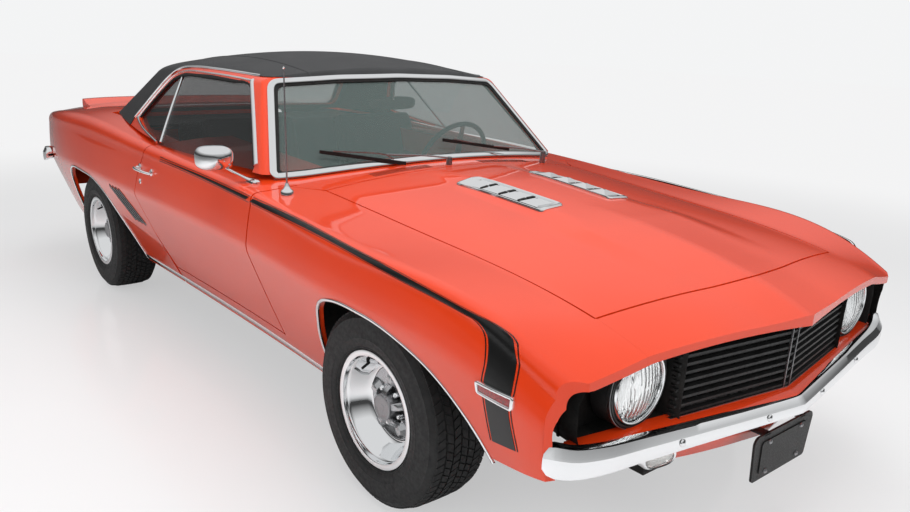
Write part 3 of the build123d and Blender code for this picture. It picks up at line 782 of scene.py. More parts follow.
    def top_point(self, x: float, y: float, lift: float = 0.0) -> np.ndarray:
        """Point on the top of the skin at a width, lifted off it."""
        half = self.section(x)[31:]
        order = np.argsort(half[:, 0])
        z = float(np.interp(abs(y), half[order, 0], half[order, 1]))
        return np.array((x, y, z + lift))


class SkinShading:
    """Gives cut panels the normals of the smooth skin that they were cut from."""

    def __init__(self, rings: Sequence[np.ndarray], mirror: bool = True) -> None:
        """Builds a search tree with smooth normals.

        Args:
            rings: Rings of the whole skin.
            mirror: Whether the skin is also mirrored to the right.
        """
        points = np.array(rings)
        along = np.gradient(points, axis=0)
        around = np.gradient(points, axis=1)
        normals = np.cross(around, along)
        normals /= np.linalg.norm(normals, axis=2)[:, :, None] + 1e-12
        middle = points.reshape(-1, 3).mean(0)
        if ((points - middle) * normals).sum() < 0:
            normals = -normals
        count = points.shape[1]
        flat = points.reshape(-1, 3)
        flat_normals = normals.reshape(-1, 3)
        faces = []
        for i in range(points.shape[0] - 1):
            for j in range(count - 1):
                a, b = i * count + j, (i + 1) * count + j
                faces += [(a, b, b + 1), (a, b + 1, a + 1)]
        self.points, self.normals, self.faces = flat, flat_normals, faces
        self.tree = BVHTree.FromPolygons([tuple(p) for p in flat], faces)
        self.mirror = mirror

    def normal(self, place: Vector) -> tuple[Optional[Vector], float]:
        """Smooth normal at the nearest point of the skin.

        Args:
            place: Point in space.

        Returns:
            The normal and the distance to the skin.
        """
        flip = self.mirror and place.y < 0
        probe = Vector((place.x, -place.y, place.z)) if flip else place
        hit, _, index, gap = self.tree.find_nearest(probe)
        if hit is None:
            return None, 1e9
        a, b, c = self.faces[index]
        pa, pb, pc = (Vector(self.points[k]) for k in (a, b, c))
        v0, v1, v2 = pb - pa, pc - pa, hit - pa
        d00, d01, d11, d20, d21 = v0.dot(v0), v0.dot(v1), v1.dot(v1), v2.dot(v0), v2.dot(v1)
        scale = d00 * d11 - d01 * d01 or 1e-12
        v, w = (d11 * d20 - d01 * d21) / scale, (d00 * d21 - d01 * d20) / scale
        mix = (1 - v - w) * self.normals[a] + v * self.normals[b] + w * self.normals[c]
        found = Vector(mix).normalized()
        return (Vector((found.x, -found.y, found.z)) if flip else found), gap

    def apply(self, thing: bpy.types.Object, reach: float = 0.002,
              inner: Optional[int] = None) -> bpy.types.Object:
        """Sets the normals of the faces that lie on the skin.

        Args:
            thing: A cut panel.
            reach: How far a corner may lie from the skin.
            inner: Material slot for the faces that don't lie on it.

        Returns:
            The panel.
        """
        data = thing.data
        near = []
        for vertex in data.vertices:
            near.append(self.normal(vertex.co))
        loops = [Vector((0, 0, 0))] * len(data.loops)
        for face in data.polygons:
            corners = [near[v] for v in face.vertices]
            on_skin = all(n is not None and gap < reach for n,
                          gap in corners) and face.normal.dot(corners[0][0]) > 0.6
            for loop, (n, _) in zip(face.loop_indices, corners):
                loops[loop] = n if on_skin else face.normal.copy()
            if inner is not None and not on_skin and all(gap > reach * 4 for _, gap in corners):
                face.material_index = inner
        data.shade_smooth()
        data.normals_split_custom_set([tuple(n) for n in loops])
        return thing


@dataclass
class BodyPanels:
    """Painted panels of the lower body, cut from one skin along the real seams."""

    palette: Palette
    surface: BodySurface = field(default_factory=BodySurface)
    skin: float = 0.020
    door: float = 0.110
    gap: float = 0.006
    front_arch: tuple[Flat, ...] = ((1.056, 0.120), (1.073, 0.430), (1.196, 0.632), (1.330, 0.672),
                                    (1.560, 0.666),
                                    (1.760, 0.598), (1.900, 0.480), (2.010, 0.330), (2.020, 0.120))
    rear_arch: tuple[Flat, ...] = ((-0.850, 0.120), (-0.875, 0.330), (-1.010, 0.600), (-1.120, 0.668),
                                   (-1.480, 0.680),
                                   (-1.620, 0.620), (-1.705, 0.480), (-1.730, 0.330), (-1.740, 0.120))
    chin: tuple[Flat, ...] = ((1.900, 0.100), (1.900, 0.372), (1.965, 0.404), (2.260, 0.462), (2.260, 0.100))
    door_outline: tuple[Flat, ...] = ((0.696, 0.330), (0.696, 1.000), (-0.330, 1.000), (-0.345, 0.930),
                                      (-0.425, 0.800),
                                      (-0.465, 0.684), (-0.450, 0.500), (-0.390, 0.330))

    def arch(self, outline: Sequence[Flat], grow: float = 0.0) -> np.ndarray:
        """Smooth wheel opening from its rear foot to its front foot.

        Args:
            outline: Its corner points.
            grow: Distance that it is moved outwards.

        Returns:
            Array of (x, z).
        """
        points = [np.array(p) for p in outline]
        line: list[np.ndarray] = [points[0]]
        for before, corner, after in zip(points, points[1:], points[2:]):
            reach = min(0.075, 0.45 * np.linalg.norm(before - corner), 0.45 * np.linalg.norm(after - corner))
            a = corner + (before - corner) / np.linalg.norm(before - corner) * reach
            b = corner + (after - corner) / np.linalg.norm(after - corner) * reach
            line += [(1 - s)**2 * a + 2 * s * (1 - s) * corner + s * s * b for s in np.linspace(0, 1, 9)]
        line.append(points[-1])
        path = np.array(line)
        run = np.concatenate([[0], np.cumsum(np.linalg.norm(np.diff(path, axis=0), axis=1))])
        even = np.linspace(0, run[-1], 110)
        path = np.column_stack([np.interp(even, run, path[:, k]) for k in (0, 1)])
        for _ in range(6):
            path[1:-1] = (path[:-2] + 2 * path[1:-1] + path[2:]) / 4
        if grow:
            ahead = np.gradient(path, axis=0)
            ahead /= np.linalg.norm(ahead, axis=1)[:, None]
            normal = np.column_stack([-ahead[:, 1], ahead[:, 0]])
            middle = path.mean(0)
            if ((path - middle) * normal).sum() < 0:
                normal = -normal
            path = path + normal * grow
        return path

    def cutter_for(self, outline: Sequence[Flat]) -> bpy.types.Object:
        """Prism through a wheel opening on the left side."""
        return Maker.prism([tuple(p) for p in self.arch(outline)], Axis.Y, 0.52, 1.1)

    def finish_panel(self, thing: bpy.types.Object, shading: SkinShading, name: str, body: str) -> None:
        """Shades a left panel, mirrors it and hands both to the frame.

        Args:
            thing: The left panel.
            shading: Shading of the skin.
            name: Node name without its side.
            body: Body name without its side, or the whole name.
        """
        thing.name = f"{name}_left_panel"
        thing.data.materials.clear()
        thing.data.materials.append(self.palette.paint.material)
        thing.data.materials.append(self.palette.inner_black.material)
        other = Maker.mirrored(thing, f"{name}_right_panel")
        for panel, side in ((thing, "left"), (other, "right")):
            shading.apply(panel, inner=1)
            own(panel, body if body == "body" else f"{body}_{side}", "body_paint", f"{name}_{side}")

    def build(self) -> None:
        """Makes the fenders, doors, quarters, rockers, cowl, hood, header, trunk lid and deck filler."""
        shading = SkinShading(self.surface.skin(-2.302, 2.352, 260))
        paint = self.palette.paint
        g = self.gap
        front_x = 2.335
        fender = self.surface.shell("fender", 0.68, 2.30, 110, self.skin, paint)
        fender_plan = [(0.704, 1.0), (0.704, 0.735), (0.823, 0.652 + g), (2.068, 0.616 + g), (2.074, 0.6163),
                       (2.239, 0.6163), (2.214, 0.794), (2.165, 0.880), (2.110, 1.0)]
        Maker.cut(fender, Maker.prism(fender_plan, Axis.Z, 0.15, 1.0), keep_inside=True)
        Maker.cut(fender, self.cutter_for(self.front_arch))
        Maker.cut(fender, Maker.prism(self.chin, Axis.Y, 0.5, 1.1))
        self.finish_panel(fender, shading, "fender", "body")

        door = self.surface.shell("door", -0.50, 0.72, 70, self.door, paint)
        Maker.cut(door, Maker.prism(self.door_outline, Axis.Y, 0.5, 1.1), keep_inside=True)
        Maker.cut(door, Maker.prism([(0.69, 0.60), (0.58, 0.60), (0.58, 0.79), (0.69, 0.79)], Axis.Z, 0.58,
                                    0.80))
        self.finish_panel(door, shading, "door", "door")

        quarter = self.surface.shell("quarter", -2.299, -0.30, 130, self.skin, paint)
        quarter_plan = [(-0.320, 1.0), (-0.320, 0.735), (-1.395, 0.735), (-1.395, 0.640 + g),
                        (-2.290, 0.640 + g),
                        (-2.290, 1.0)]
        Maker.cut(quarter, Maker.prism(quarter_plan, Axis.Z, 0.15, 1.1), keep_inside=True)
        Maker.cut(quarter, self.cutter_for(self.rear_arch))
        door_edge = [(p[0] - (g if i > 1 else 0.0), p[1]) for i, p in enumerate(self.door_outline)]
        door_edge[0], door_edge[-1] = (0.696, 0.20), (-0.390 - g, 0.20)
        door_edge[1], door_edge[2] = (0.696, 1.1), (-0.330 - g, 1.1)
        Maker.cut(quarter, Maker.prism(door_edge, Axis.Y, 0.55, 1.1))
        self.finish_panel(quarter, shading, "quarter", "body")

        rocker = self.surface.shell("rocker", -0.40, 0.72, 60, self.skin, paint)
        Maker.cut(rocker, Maker.prism([(0.7037, 0.10), (0.7037, 0.330 - g), (-0.390, 0.330 - g),
                                       (-0.390, 0.10)], Axis.Y,
                                      0.5, 1.1), keep_inside=True)
        pair = Maker.join("rocker_pair", [rocker, Maker.mirrored(rocker, "rocker_other")])
        pair.data.materials.append(self.palette.inner_black.material)
        shading.apply(pair, inner=1)
        own(pair, "body", "body_paint", "rocker_panels")

        hood = self.surface.shell("hood_skin", 0.80, 2.18, 120, 0.022, paint, both=True)
        hood_plan = [(0.823, -0.652), (2.068, -0.616), (2.151, 0.0), (2.068, 0.616), (0.823, 0.652)]
        Maker.cut(hood, Maker.prism(hood_plan, Axis.Z, 0.64, 1.05), keep_inside=True)
        header = self.surface.shell("header_skin", 2.05, 2.345, 50, self.skin, paint, both=True)
        header_plan = [(2.151 + g, 0.0), (2.068 + g, 0.616), (2.239, 0.616), (front_x, 0.0), (2.239, -0.616),
                       (2.068 + g, -0.616)]
        Maker.cut(header, Maker.prism(header_plan, Axis.Z, 0.64, 0.9), keep_inside=True)
        cowl = self.surface.shell("cowl_skin", 0.55, 0.83, 40, self.skin, paint, both=True)
        cowl_plan = [(0.817, -0.652), (0.817, 0.652), (0.704, 0.7347), (0.704, 0.706), (0.560, 0.706),
                     (0.560, -0.706),
                     (0.704, -0.706), (0.704, -0.7347)]
        Maker.cut(cowl, Maker.prism(cowl_plan, Axis.Z, 0.70, 1.0), keep_inside=True)
        lid = self.surface.shell("lid_skin", -2.26, -1.38, 60, 0.022, paint, both=True)
        lid_plan = [(-1.401, -0.640), (-2.240, -0.640), (-2.240, 0.640), (-1.401, 0.640)]
        Maker.cut(lid, Maker.prism(lid_plan, Axis.Z, 0.70, 1.1), keep_inside=True)
        filler = self.surface.shell("filler_skin", -1.396, -1.32, 12, self.skin, paint, both=True)
        filler_plan = [(-1.395, -0.7347), (-1.330, -0.7347), (-1.330, 0.7347), (-1.395, 0.7347)]
        Maker.cut(filler, Maker.prism(filler_plan, Axis.Z, 0.80, 1.1), keep_inside=True)
        for panel, name, body, node in ((hood, "hood_skin", "hood", "hood"),
                                        (header, "header_skin", "body", "header_panel"),
                                        (cowl, "cowl_skin", "body", "cowl_panel"),
                                        (lid, "trunk_lid_skin", "trunk_lid", "trunk_lid"),
                                        (filler, "deck_filler_skin", "body", "deck_filler")):
            panel.name = name
            panel.data.materials.clear()
            panel.data.materials.append(paint.material)
            panel.data.materials.append(self.palette.inner_black.material)
            shading.apply(panel, inner=1)
            own(panel, body, "body_paint", node)
        self.spoiler()

    def spoiler(self) -> None:
        """Ducktail along the rear edge of the trunk lid."""
        rings = []
        for y in np.linspace(-0.640, 0.640, 41):
            base = self.surface.top_point(-2.040, y)[2]
            rear = self.surface.top_point(-2.236, y)[2]
            fall = 0.012 * (abs(y) / 0.64)**4
            rings.append([(-2.040, y, base - 0.002), (-2.090, y, base + 0.012 - fall),
                          (-2.150, y, 0.968 - fall),
                          (-2.200, y, 0.990 - fall), (-2.226, y, 0.993 - fall), (-2.236, y, 0.986 - fall),
                          (-2.240, y, 0.960 - fall), (-2.238, y, rear - 0.010), (-2.10, y, rear - 0.004)])
        own(Maker.loft("tail_spoiler", rings, self.palette.paint, sharp=50), "trunk_lid", "body_paint")


def arc_through(a: np.ndarray, b: np.ndarray, c: np.ndarray, count: int) -> np.ndarray:
    """Points of the arc from a through b to c, without its last point."""
    ax, ay, bx, by, cx, cy = *a, *b, *c
    scale = 2 * (ax * (by - cy) + bx * (cy - ay) + cx * (ay - by))
    aa, bb, cc = ax * ax + ay * ay, bx * bx + by * by, cx * cx + cy * cy
    ux = (aa * (by - cy) + bb * (cy - ay) + cc * (ay - by)) / scale
    uy = (aa * (cx - bx) + bb * (ax - cx) + cc * (bx - ax)) / scale
    start, middle, end = (math.atan2(p[1] - uy, p[0] - ux) for p in (a, b, c))
    turn = 2 * math.pi
    sweep = (end - start) % turn
    if (middle - start) % turn > sweep:
        sweep -= turn
    radius = math.hypot(ax - ux, ay - uy)
    angles = start + sweep * np.linspace(0, 1, count, endpoint=False)
    return np.column_stack([ux + radius * np.cos(angles), uy + radius * np.sin(angles)])


def round_corners(points: Sequence[Flat], radius: float, steps: int = 6) -> list[Flat]:
    """Closed outline with its corners rounded off."""
    out: list[Flat] = []
    count = len(points)
    for i in range(count):
        before, corner, after = (np.array(points[(i + k) % count]) for k in (-1, 0, 1))
        reach = min(radius, 0.45 * np.linalg.norm(before - corner), 0.45 * np.linalg.norm(after - corner))
        a = corner + (before - corner) / np.linalg.norm(before - corner) * reach
        b = corner + (after - corner) / np.linalg.norm(after - corner) * reach
        out += [tuple((1 - s)**2 * a + 2 * s * (1 - s) * corner + s * s * b) for s in np.linspace(0, 1, steps)]
    return out


def spread(points: Sequence[Flat], step: float) -> list[Flat]:
    """Closed outline with extra points, at most a step apart."""
    out: list[Flat] = []
    for a, b in zip(points, list(points[1:]) + [points[0]]):
        count = max(1, math.ceil(math.dist(a, b) / step))
        out += [tuple(np.array(a) + (np.array(b) - np.array(a)) * k / count) for k in range(count)]
    return out


@dataclass
class Dome:
    """Outer surface of the greenhouse: walls from belt to rail, closed by a crowned roof.

    Belt and rail each hold the front x, the front corner, the side's middle, the rear corner and the rear x.
    """

    belt_z: float = 0.930
    rail_z: float = 1.262
    belt: tuple[float, ...] = (0.730, 0.552, 0.772, -0.250, 0.850, -1.384, 0.720, -1.440)
    rail: tuple[float, ...] = (0.357, 0.262, 0.613, -0.350, 0.634, -0.880, 0.575, -0.955)
    crown: tuple[tuple[float, float, float], ...] = (
        (-1.450, 1.150, 1.150), (-0.955, 1.282, 1.252), (-0.600, 1.333, 1.272), (-0.100, 1.345, 1.275),
        (0.357, 1.292, 1.262), (0.700, 1.215, 1.215),
    )
    corner: float = 0.055
    counts: tuple[int, int, int] = (44, 90, 40)

    def plan(self, z: float) -> np.ndarray:
        """Half outline at a height, from the front's centre to the rear's centre."""
        share = (z - self.belt_z) / (self.rail_z - self.belt_z)
        fx, cx, cy, mx, my, rx, ry, bx = (a + (b - a) * share for a, b in zip(self.belt, self.rail))
        front = arc_through(np.array((cx, -cy)), np.array((fx, 0.0)), np.array((cx, cy)), 2 * self.counts[0])
        side = arc_through(np.array((cx, cy)), np.array((mx, my)), np.array((rx, ry)), self.counts[1])
        rear = arc_through(np.array((rx, ry)), np.array((bx, 0.0)), np.array((rx, -ry)), 2 * self.counts[2])
        return np.vstack([front[self.counts[0]:], side, rear[:self.counts[2] + 1]])

    def crown_z(self, x: float, y: float) -> float:
        """Height of the roof's crown."""
        table = np.array(self.crown)
        middle, rail = (self.spline(table[:, 0], table[:, k], x) for k in (1, 2))
        drop = middle - (rail - 0.1056)
        radius = (1.0 + drop * drop) / (2 * drop)
        return middle - radius + math.sqrt(radius * radius - min(y * y, 1.0))

    @staticmethod
    def spline(xs: np.ndarray, ys: np.ndarray, x: float) -> float:
        """Smooth curve through a few points, from end to end."""
        i = int(np.clip(np.searchsorted(xs, x) - 1, 0, len(xs) - 2))
        slopes = np.gradient(ys, xs)
        h = xs[i + 1] - xs[i]
        s = (x - xs[i]) / h
        return float((2 * s**3 - 3 * s**2 + 1) * ys[i] + (s**3 - 2 * s**2 + s) * h * slopes[i]
                     + (-2 * s**3 + 3 * s**2) * ys[i + 1] + (s**3 - s**2) * h * slopes[i + 1])

    def rings(self, inset: float = 0.0, low: float = 0.880, rows: tuple[int, int, int] = (16, 9,
        22)) -> list[np.ndarray]:
        """Lines of the left half, each from the belt up the wall and over to the centre line.

        Args:
            inset: How far the surface is moved in, along its own normal.
            low: Height that the lines start at.
            rows: Points on the wall, round the corner and on the crown.

        Returns:
            One array of points per line, from the front round to the rear.
        """
        foot, head = self.plan(low), self.plan(1.400)
        grid = []
        for number, (a, b) in enumerate(zip(foot, head)):
            bent = self.corner * min(1.0, 0.45 + 0.55 * max(0.0, number - self.counts[0]) / 12)
            start = np.array((*a, low))
            run = np.array((*b, 1.400)) - start
            t_low, t_high = 0.0, 1.0
            for _ in range(30):
                t = (t_low + t_high) / 2
                place = start + run * t
                if place[2] < self.crown_z(place[0], place[1]):
                    t_low = t
                else:
                    t_high = t
            edge = start + run * t_low
            spine = np.array((np.clip(edge[0], -0.780, 0.180), 0.0))

            def over(s: float) -> np.ndarray:
                """Point on the crown at a share of the way to the spine."""
                flat = edge[:2] + (spine - edge[:2]) * s
                return np.array((*flat, self.crown_z(flat[0], flat[1])))

            across = np.linalg.norm(edge[:2] - spine)
            down = edge - run / np.linalg.norm(run) * bent
            inward = min(1.0, bent / across)
            wall = [start + (down - start) * s for s in np.linspace(0, 1, rows[0], endpoint=False)]
            bend = [(1 - s)**2 * down + 2 * s * (1 - s) * edge + s * s * over(inward)
                    for s in np.linspace(0, 1, rows[1], endpoint=False)]
            roof = [over(inward + (1 - inward) * s) for s in np.linspace(0, 1, rows[2])]
            grid.append(np.array(wall + bend + roof))
        if inset == 0.0:
            return grid
        points = np.array(grid)
        along, around = np.gradient(points, axis=0), np.gradient(points, axis=1)
        normals = np.cross(along, around)
        lengths = np.linalg.norm(normals, axis=2)[:, :, None]
        normals = normals / np.maximum(lengths, 1e-9)
        centre = np.array((-0.30, 0.0, 0.9))
        facing = np.sign(((points - centre) * normals).sum(axis=2))[:, :, None]
        normals = normals * facing
        normals[:, -1] = (0.0, 0.0, 1.0)
        moved = points - normals * inset
        moved[0, :, 1] = 0.0
        moved[-1, :, 1] = 0.0
        moved[:, -1, 1] = 0.0
        return list(moved)

    def whole(self, inset: float = 0.0, low: float = 0.880) -> list[np.ndarray]:
        """Lines of the whole surface, from the front's centre round to it again."""
        half = self.rings(inset, low)
        other = [line * (1.0, -1.0, 1.0) for line in half[-2:0:-1]]
        return half + other

    def shell(self, name: str, outer: float, inner: float, finish: Finish,
              low: float = 0.880) -> bpy.types.Object:
        """Closed wall between two insets, whose lines run down the inside and up the outside."""
        lines = [np.vstack([i[::-1], o]) for o, i in zip(self.whole(outer, low), self.whole(inner, low))]
        return Maker.loft(name, lines, finish, closed=False, loop=True)


class OnDome:
    """Finds points and normals on the greenhouse."""

    def __init__(self, dome: Dome, inset: float = 0.0) -> None:
        """Builds the search tree over both halves."""
        self.shading = SkinShading(dome.rings(inset))

    def hit(self, start: Point, way: Point) -> tuple[np.ndarray, np.ndarray]:
        """First point met from a start in a direction.

        Args:
            start: Where the search begins.
            way: Its direction.

        Returns:
            The point and the smooth outward normal there.
        """
        flip = -1.0 if start[1] < 0 else 1.0
        place, _, _, _ = self.shading.tree.ray_cast(Vector((start[0], start[1] * flip, start[2])),
                                                    Vector((way[0], way[1] * flip, way[2])))
        if place is None:
            place, _, _, _ = self.shading.tree.find_nearest(Vector((start[0], start[1] * flip, start[2])))
        normal, _ = self.shading.normal(place)
        mirror = np.array((1.0, flip, 1.0))
        return np.array(place) * mirror, np.array(normal) * mirror

    def side(self, x: float, z: float, sign: int) -> tuple[np.ndarray, np.ndarray]:
        """Point on a side wall."""
        return self.hit((x, sign * 1.2, z), (0.0, -float(sign), 0.0))

    def front(self, y: float, z: float) -> tuple[np.ndarray, np.ndarray]:
        """Point on the windshield's wall."""
        return self.hit((1.2, y if abs(y) > 1e-6 else 1e-6, z), (-1.0, 0.0, 0.0))

    def rear(self, y: float, z: float) -> tuple[np.ndarray, np.ndarray]:
        """Point on the rear wall."""
        return self.hit((-1.8, y if abs(y) > 1e-6 else 1e-6, z), (1.0, 0.0, 0.0))


def moulding(width: float, height: float) -> list[Flat]:
    """Low rounded section of a bright moulding."""
    w, h = width / 2, height
    return [(-w, -0.003), (-w, h * 0.45), (-w * 0.72, h * 0.85), (-w * 0.3, h), (w * 0.3, h),
            (w * 0.72, h * 0.85),
            (w, h * 0.45), (w, -0.003)]


@dataclass
class Greenhouse:
    """Vinyl roof, painted pillars and rails, glass, seals and bright mouldings."""

    palette: Palette
    dome: Dome = field(default_factory=Dome)
    surface: BodySurface = field(default_factory=BodySurface)
    wall: float = 0.030
    side_opening: tuple[Flat, ...] = ((0.498, 0.880), (0.498, 0.944), (0.214, 1.236), (-0.150, 1.246),
                                      (-0.470, 1.238),
                                      (-0.600, 1.205), (-0.690, 1.120), (-0.780, 1.006), (-0.560, 0.964),
                                      (-0.330, 0.936), (-0.330, 0.880))
    door_pane: tuple[Flat, ...] = ((0.486, 0.930), (0.214, 1.236), (-0.150, 1.246), (-0.490, 1.238),
                                   (-0.318, 0.930))
    quarter_pane: tuple[Flat, ...] = ((-0.500, 1.242), (-0.620, 1.235), (-0.720, 1.150), (-0.830, 0.990),
                                      (-0.560, 0.950), (-0.330, 0.930))
    vinyl_edge: tuple[Flat, ...] = ((0.300, 1.262), (0.214, 1.262), (0.000, 1.268), (-0.150, 1.270),
                                    (-0.380, 1.268),
                                    (-0.560, 1.252), (-0.670, 1.205), (-0.750, 1.120), (-0.838, 1.002))
    windshield: tuple[Flat, ...] = ((0.735, 0.900), (0.735, 0.945), (0.592, 1.243), (0.300, 1.262),
                                    (0.0, 1.269),
                                    (-0.300, 1.262), (-0.592, 1.243), (-0.735, 0.945), (-0.735, 0.900))
    rear_glass: tuple[Flat, ...] = ((0.640, 1.004), (0.515, 1.240), (0.250, 1.252), (0.0, 1.256),
                                    (-0.250, 1.252),
                                    (-0.515, 1.240), (-0.640, 1.004))

    def build(self) -> None:
        """Makes the roof, the panes and the trim."""
        self.on_dome = OnDome(self.dome)
        self.roof()
        self.panes()
        self.windshield_trim()
        self.rear_trim()
        for side in Side:
            self.side_trim(side)

    def roof(self) -> None:
        """Painted shell with its openings, and the vinyl over it."""
        side = round_corners(self.side_opening, 0.050)
        front = round_corners(self.windshield, 0.045)
        rear = round_corners(self.rear_glass, 0.050)
        body_top = [(x, float(self.surface.top_point(x, 0.0)[2]) - 0.030) for x in np.linspace(-1.46, 0.76, 24)]
        under = [(0.76, 0.5), (-1.46, 0.5)] + body_top
        pieces = []
        for name, outer, inner, finish in (("roof_painted", 0.0, self.wall, self.palette.paint),
                                           ("roof_vinyl", -0.0028, 0.0006, self.palette.vinyl)):
            shell = self.dome.shell(name, outer, inner, finish)
            Maker.cut(shell, Maker.prism(side, Axis.Y, -1.2, 1.2), mend=inner == self.wall)
            Maker.cut(shell, Maker.prism(front, Axis.X, 0.15, 1.0))
            Maker.cut(shell, Maker.prism(rear, Axis.X, -1.7, -0.7))
            Maker.cut(shell, Maker.prism(under, Axis.Y, -1.2, 1.2))
            pieces.append(shell)
        painted, vinyl = pieces
        cover = [(0.420, 1.5), (0.420, 1.262)] + list(self.vinyl_edge) + [(-0.838, 0.90), (-1.60, 0.90),
            (-1.60, 1.5)]
        Maker.cut(vinyl, Maker.prism(cover, Axis.Y, -1.2, 1.2), keep_inside=True)
        painted.data.materials.append(self.palette.inner_black.material)
        self.on_dome.shading.apply(painted, inner=1)
        self.on_dome.shading.apply(vinyl, reach=0.006)
        own(painted, "body", "body_paint", "roof")
        own(vinyl, "body", "black_vinyl")
        seams = []
        for y in (-0.42, 0.42):
            line = []
            for x in np.linspace(0.335, -0.930, 60):
                place, normal = self.on_dome.hit((x, y, 1.6), (0.0, 0.0, -1.0))
                line.append((place + normal * 0.0026, normal))
            seams.append(Maker.sweep("roof_seam", [p for p, _ in line], moulding(0.007, 0.0022),
                                     self.palette.vinyl,
                                     outward=[n for _, n in line]))
        own(Maker.join("roof_seams", seams), "body", "black_vinyl")

    def panes(self) -> None:
        """Windshield, rear glass, quarter and door panes, inside the openings."""
        for name, outline, axis, low, high, finish, body, node in (
            ("windshield_pane", self.windshield, Axis.X, 0.15, 1.0, self.palette.glass, "body", "windshield"),
            ("rear_pane", self.rear_glass, Axis.X, -1.7, -0.7, self.palette.side_glass, "body", "fixed_glass"),
            ("door_left_pane", self.door_pane, Axis.Y, 0.3, 1.2, self.palette.side_glass, "door_left",
             "door_left_glass"),
            ("door_right_pane", self.door_pane, Axis.Y, -1.2, -0.3, self.palette.side_glass, "door_right",
             "door_right_glass"),
            ("quarter_left_pane", self.quarter_pane, Axis.Y, 0.3, 1.2, self.palette.side_glass, "body",
             "fixed_glass"),
            ("quarter_right_pane", self.quarter_pane, Axis.Y, -1.2, -0.3, self.palette.side_glass, "body",
             "fixed_glass"),
        ):
            depth = 0.010 if axis is Axis.Y else 0.006
            shell = self.dome.shell(name, depth, depth + 0.005, finish, low=0.905)
            Maker.cut(shell, Maker.prism(outline, axis, low, high), keep_inside=True)
            Maker.smooth(shell, 30.0)
            own(shell, body, "tinted_glass", node)

    def lay(self, name: str, line: Sequence[tuple[np.ndarray, np.ndarray]], profile: Sequence[Flat],
            *finishes: Finish,
            loop: bool = False, lift: float = 0.0) -> bpy.types.Object:
        """Lays a moulding along points of the greenhouse."""
        return Maker.sweep(name, [p + n * lift for p, n in line], profile, *finishes,
                           outward=[n for _, n in line],
                           loop=loop)

    def windshield_trim(self) -> None:
        """Bright frame and black seal of the windshield."""
        foot = []
        for y in np.linspace(-0.728, 0.728, 61):
            z = 0.945
            for _ in range(6):
                place, _ = self.on_dome.front(y, z)
                z = float(self.surface.top_point(place[0], abs(y))[2]) + 0.012
            foot.append((y, z))
        top = [(0.735, foot[0][1] + 0.012), (0.592, 1.243), (0.300, 1.262), (0.0, 1.269), (-0.300, 1.262),
               (-0.592, 1.243), (-0.735, foot[0][1] + 0.012)]
        loop = spread(round_corners(foot[::4] + top, 0.035), 0.02)
        line = [self.on_dome.front(y, z) for y, z in loop]
        frame = self.lay("windshield_frame", line, moulding(0.026, 0.0075), self.palette.chrome, loop=True,
                         lift=0.001)
        own(frame, "body", "chrome")
        centre = np.array((0.0, 1.09))
        inner = [tuple(centre + (np.array(p) - centre) * (0.975, 0.945)) for p in loop]
        seal = [self.on_dome.front(y, z) for y, z in inner]
        own(self.lay("windshield_seal", seal, moulding(0.020, 0.003), self.palette.seal, loop=True,
                     lift=-0.003),
            "body", "black_plastic")

    @staticmethod
    def ordered(points: Sequence[Flat], centre: Flat) -> list[Flat]:
        """Points in order of their angle about a centre."""
        return sorted(points, key=lambda p: math.atan2(p[1] - centre[1], p[0] - centre[0]))

    def rear_trim(self) -> None:
        """Bright frame of the rear glass."""
        outline = self.ordered(spread(round_corners(self.rear_glass, 0.050, 8), 0.02), (0.0, 1.11))
        line = [self.on_dome.rear(y, z) for y, z in outline]
        own(self.lay("rear_glass_frame", line, moulding(0.024, 0.007), self.palette.chrome, loop=True,
                     lift=0.001),
            "body", "chrome")

    def side_trim(self, side: Side) -> None:
        """Mouldings round the side glass and along the vinyl's edge.

        Args:
            side: Side of the car.
        """
        sign, name = side.value, side.name.lower()
        chrome, seal = self.palette.chrome, self.palette.seal

        def along(points: Sequence[Flat], count: int) -> list[tuple[np.ndarray, np.ndarray]]:
            """Points of a smooth line on the side wall."""
            return [self.on_dome.side(x, z, sign) for x, z in curve_through(points, count)]

        edge = along(self.vinyl_edge[1:], 70)
        strips = [self.lay("vinyl_edge", edge, moulding(0.011, 0.006), chrome, lift=0.001)]
        pillar = along(((0.500, 0.950), (0.352, 1.100), (0.206, 1.244)), 30)
        strips.append(self.lay("pillar_strip", pillar, moulding(0.022, 0.007), chrome, lift=0.001))
        rail = along(((0.208, 1.243), (0.030, 1.249), (-0.150, 1.251), (-0.470, 1.243), (-0.606, 1.208),
                      (-0.696, 1.124), (-0.784, 1.004)), 70)
        strips.append(self.lay("rail_strip", rail, moulding(0.008, 0.005), chrome, lift=0.001))
        divider = along(((-0.322, 0.945), (-0.410, 1.090), (-0.494, 1.236)), 24)
        strips.append(self.lay("quarter_divider", divider, moulding(0.012, 0.008), chrome, lift=-0.010))
        sill = along(((-0.338, 0.940), (-0.450, 0.954), (-0.620, 0.976), (-0.780, 1.004)), 40)
        strips.append(self.lay("quarter_sill", sill, moulding(0.010, 0.006), chrome, lift=0.001))
        own(Maker.join(f"side_mouldings_{name}", strips), "body", "chrome")
        inner = along(((0.488, 0.948), (0.340, 1.096), (0.206, 1.228), (0.030, 1.236), (-0.150, 1.238),
                       (-0.460, 1.230),
                       (-0.592, 1.196), (-0.680, 1.116), (-0.764, 1.010)), 100)
        own(self.lay(f"side_seal_{name}", inner, moulding(0.018, 0.004), seal, lift=-0.004), "body",
            "black_plastic")


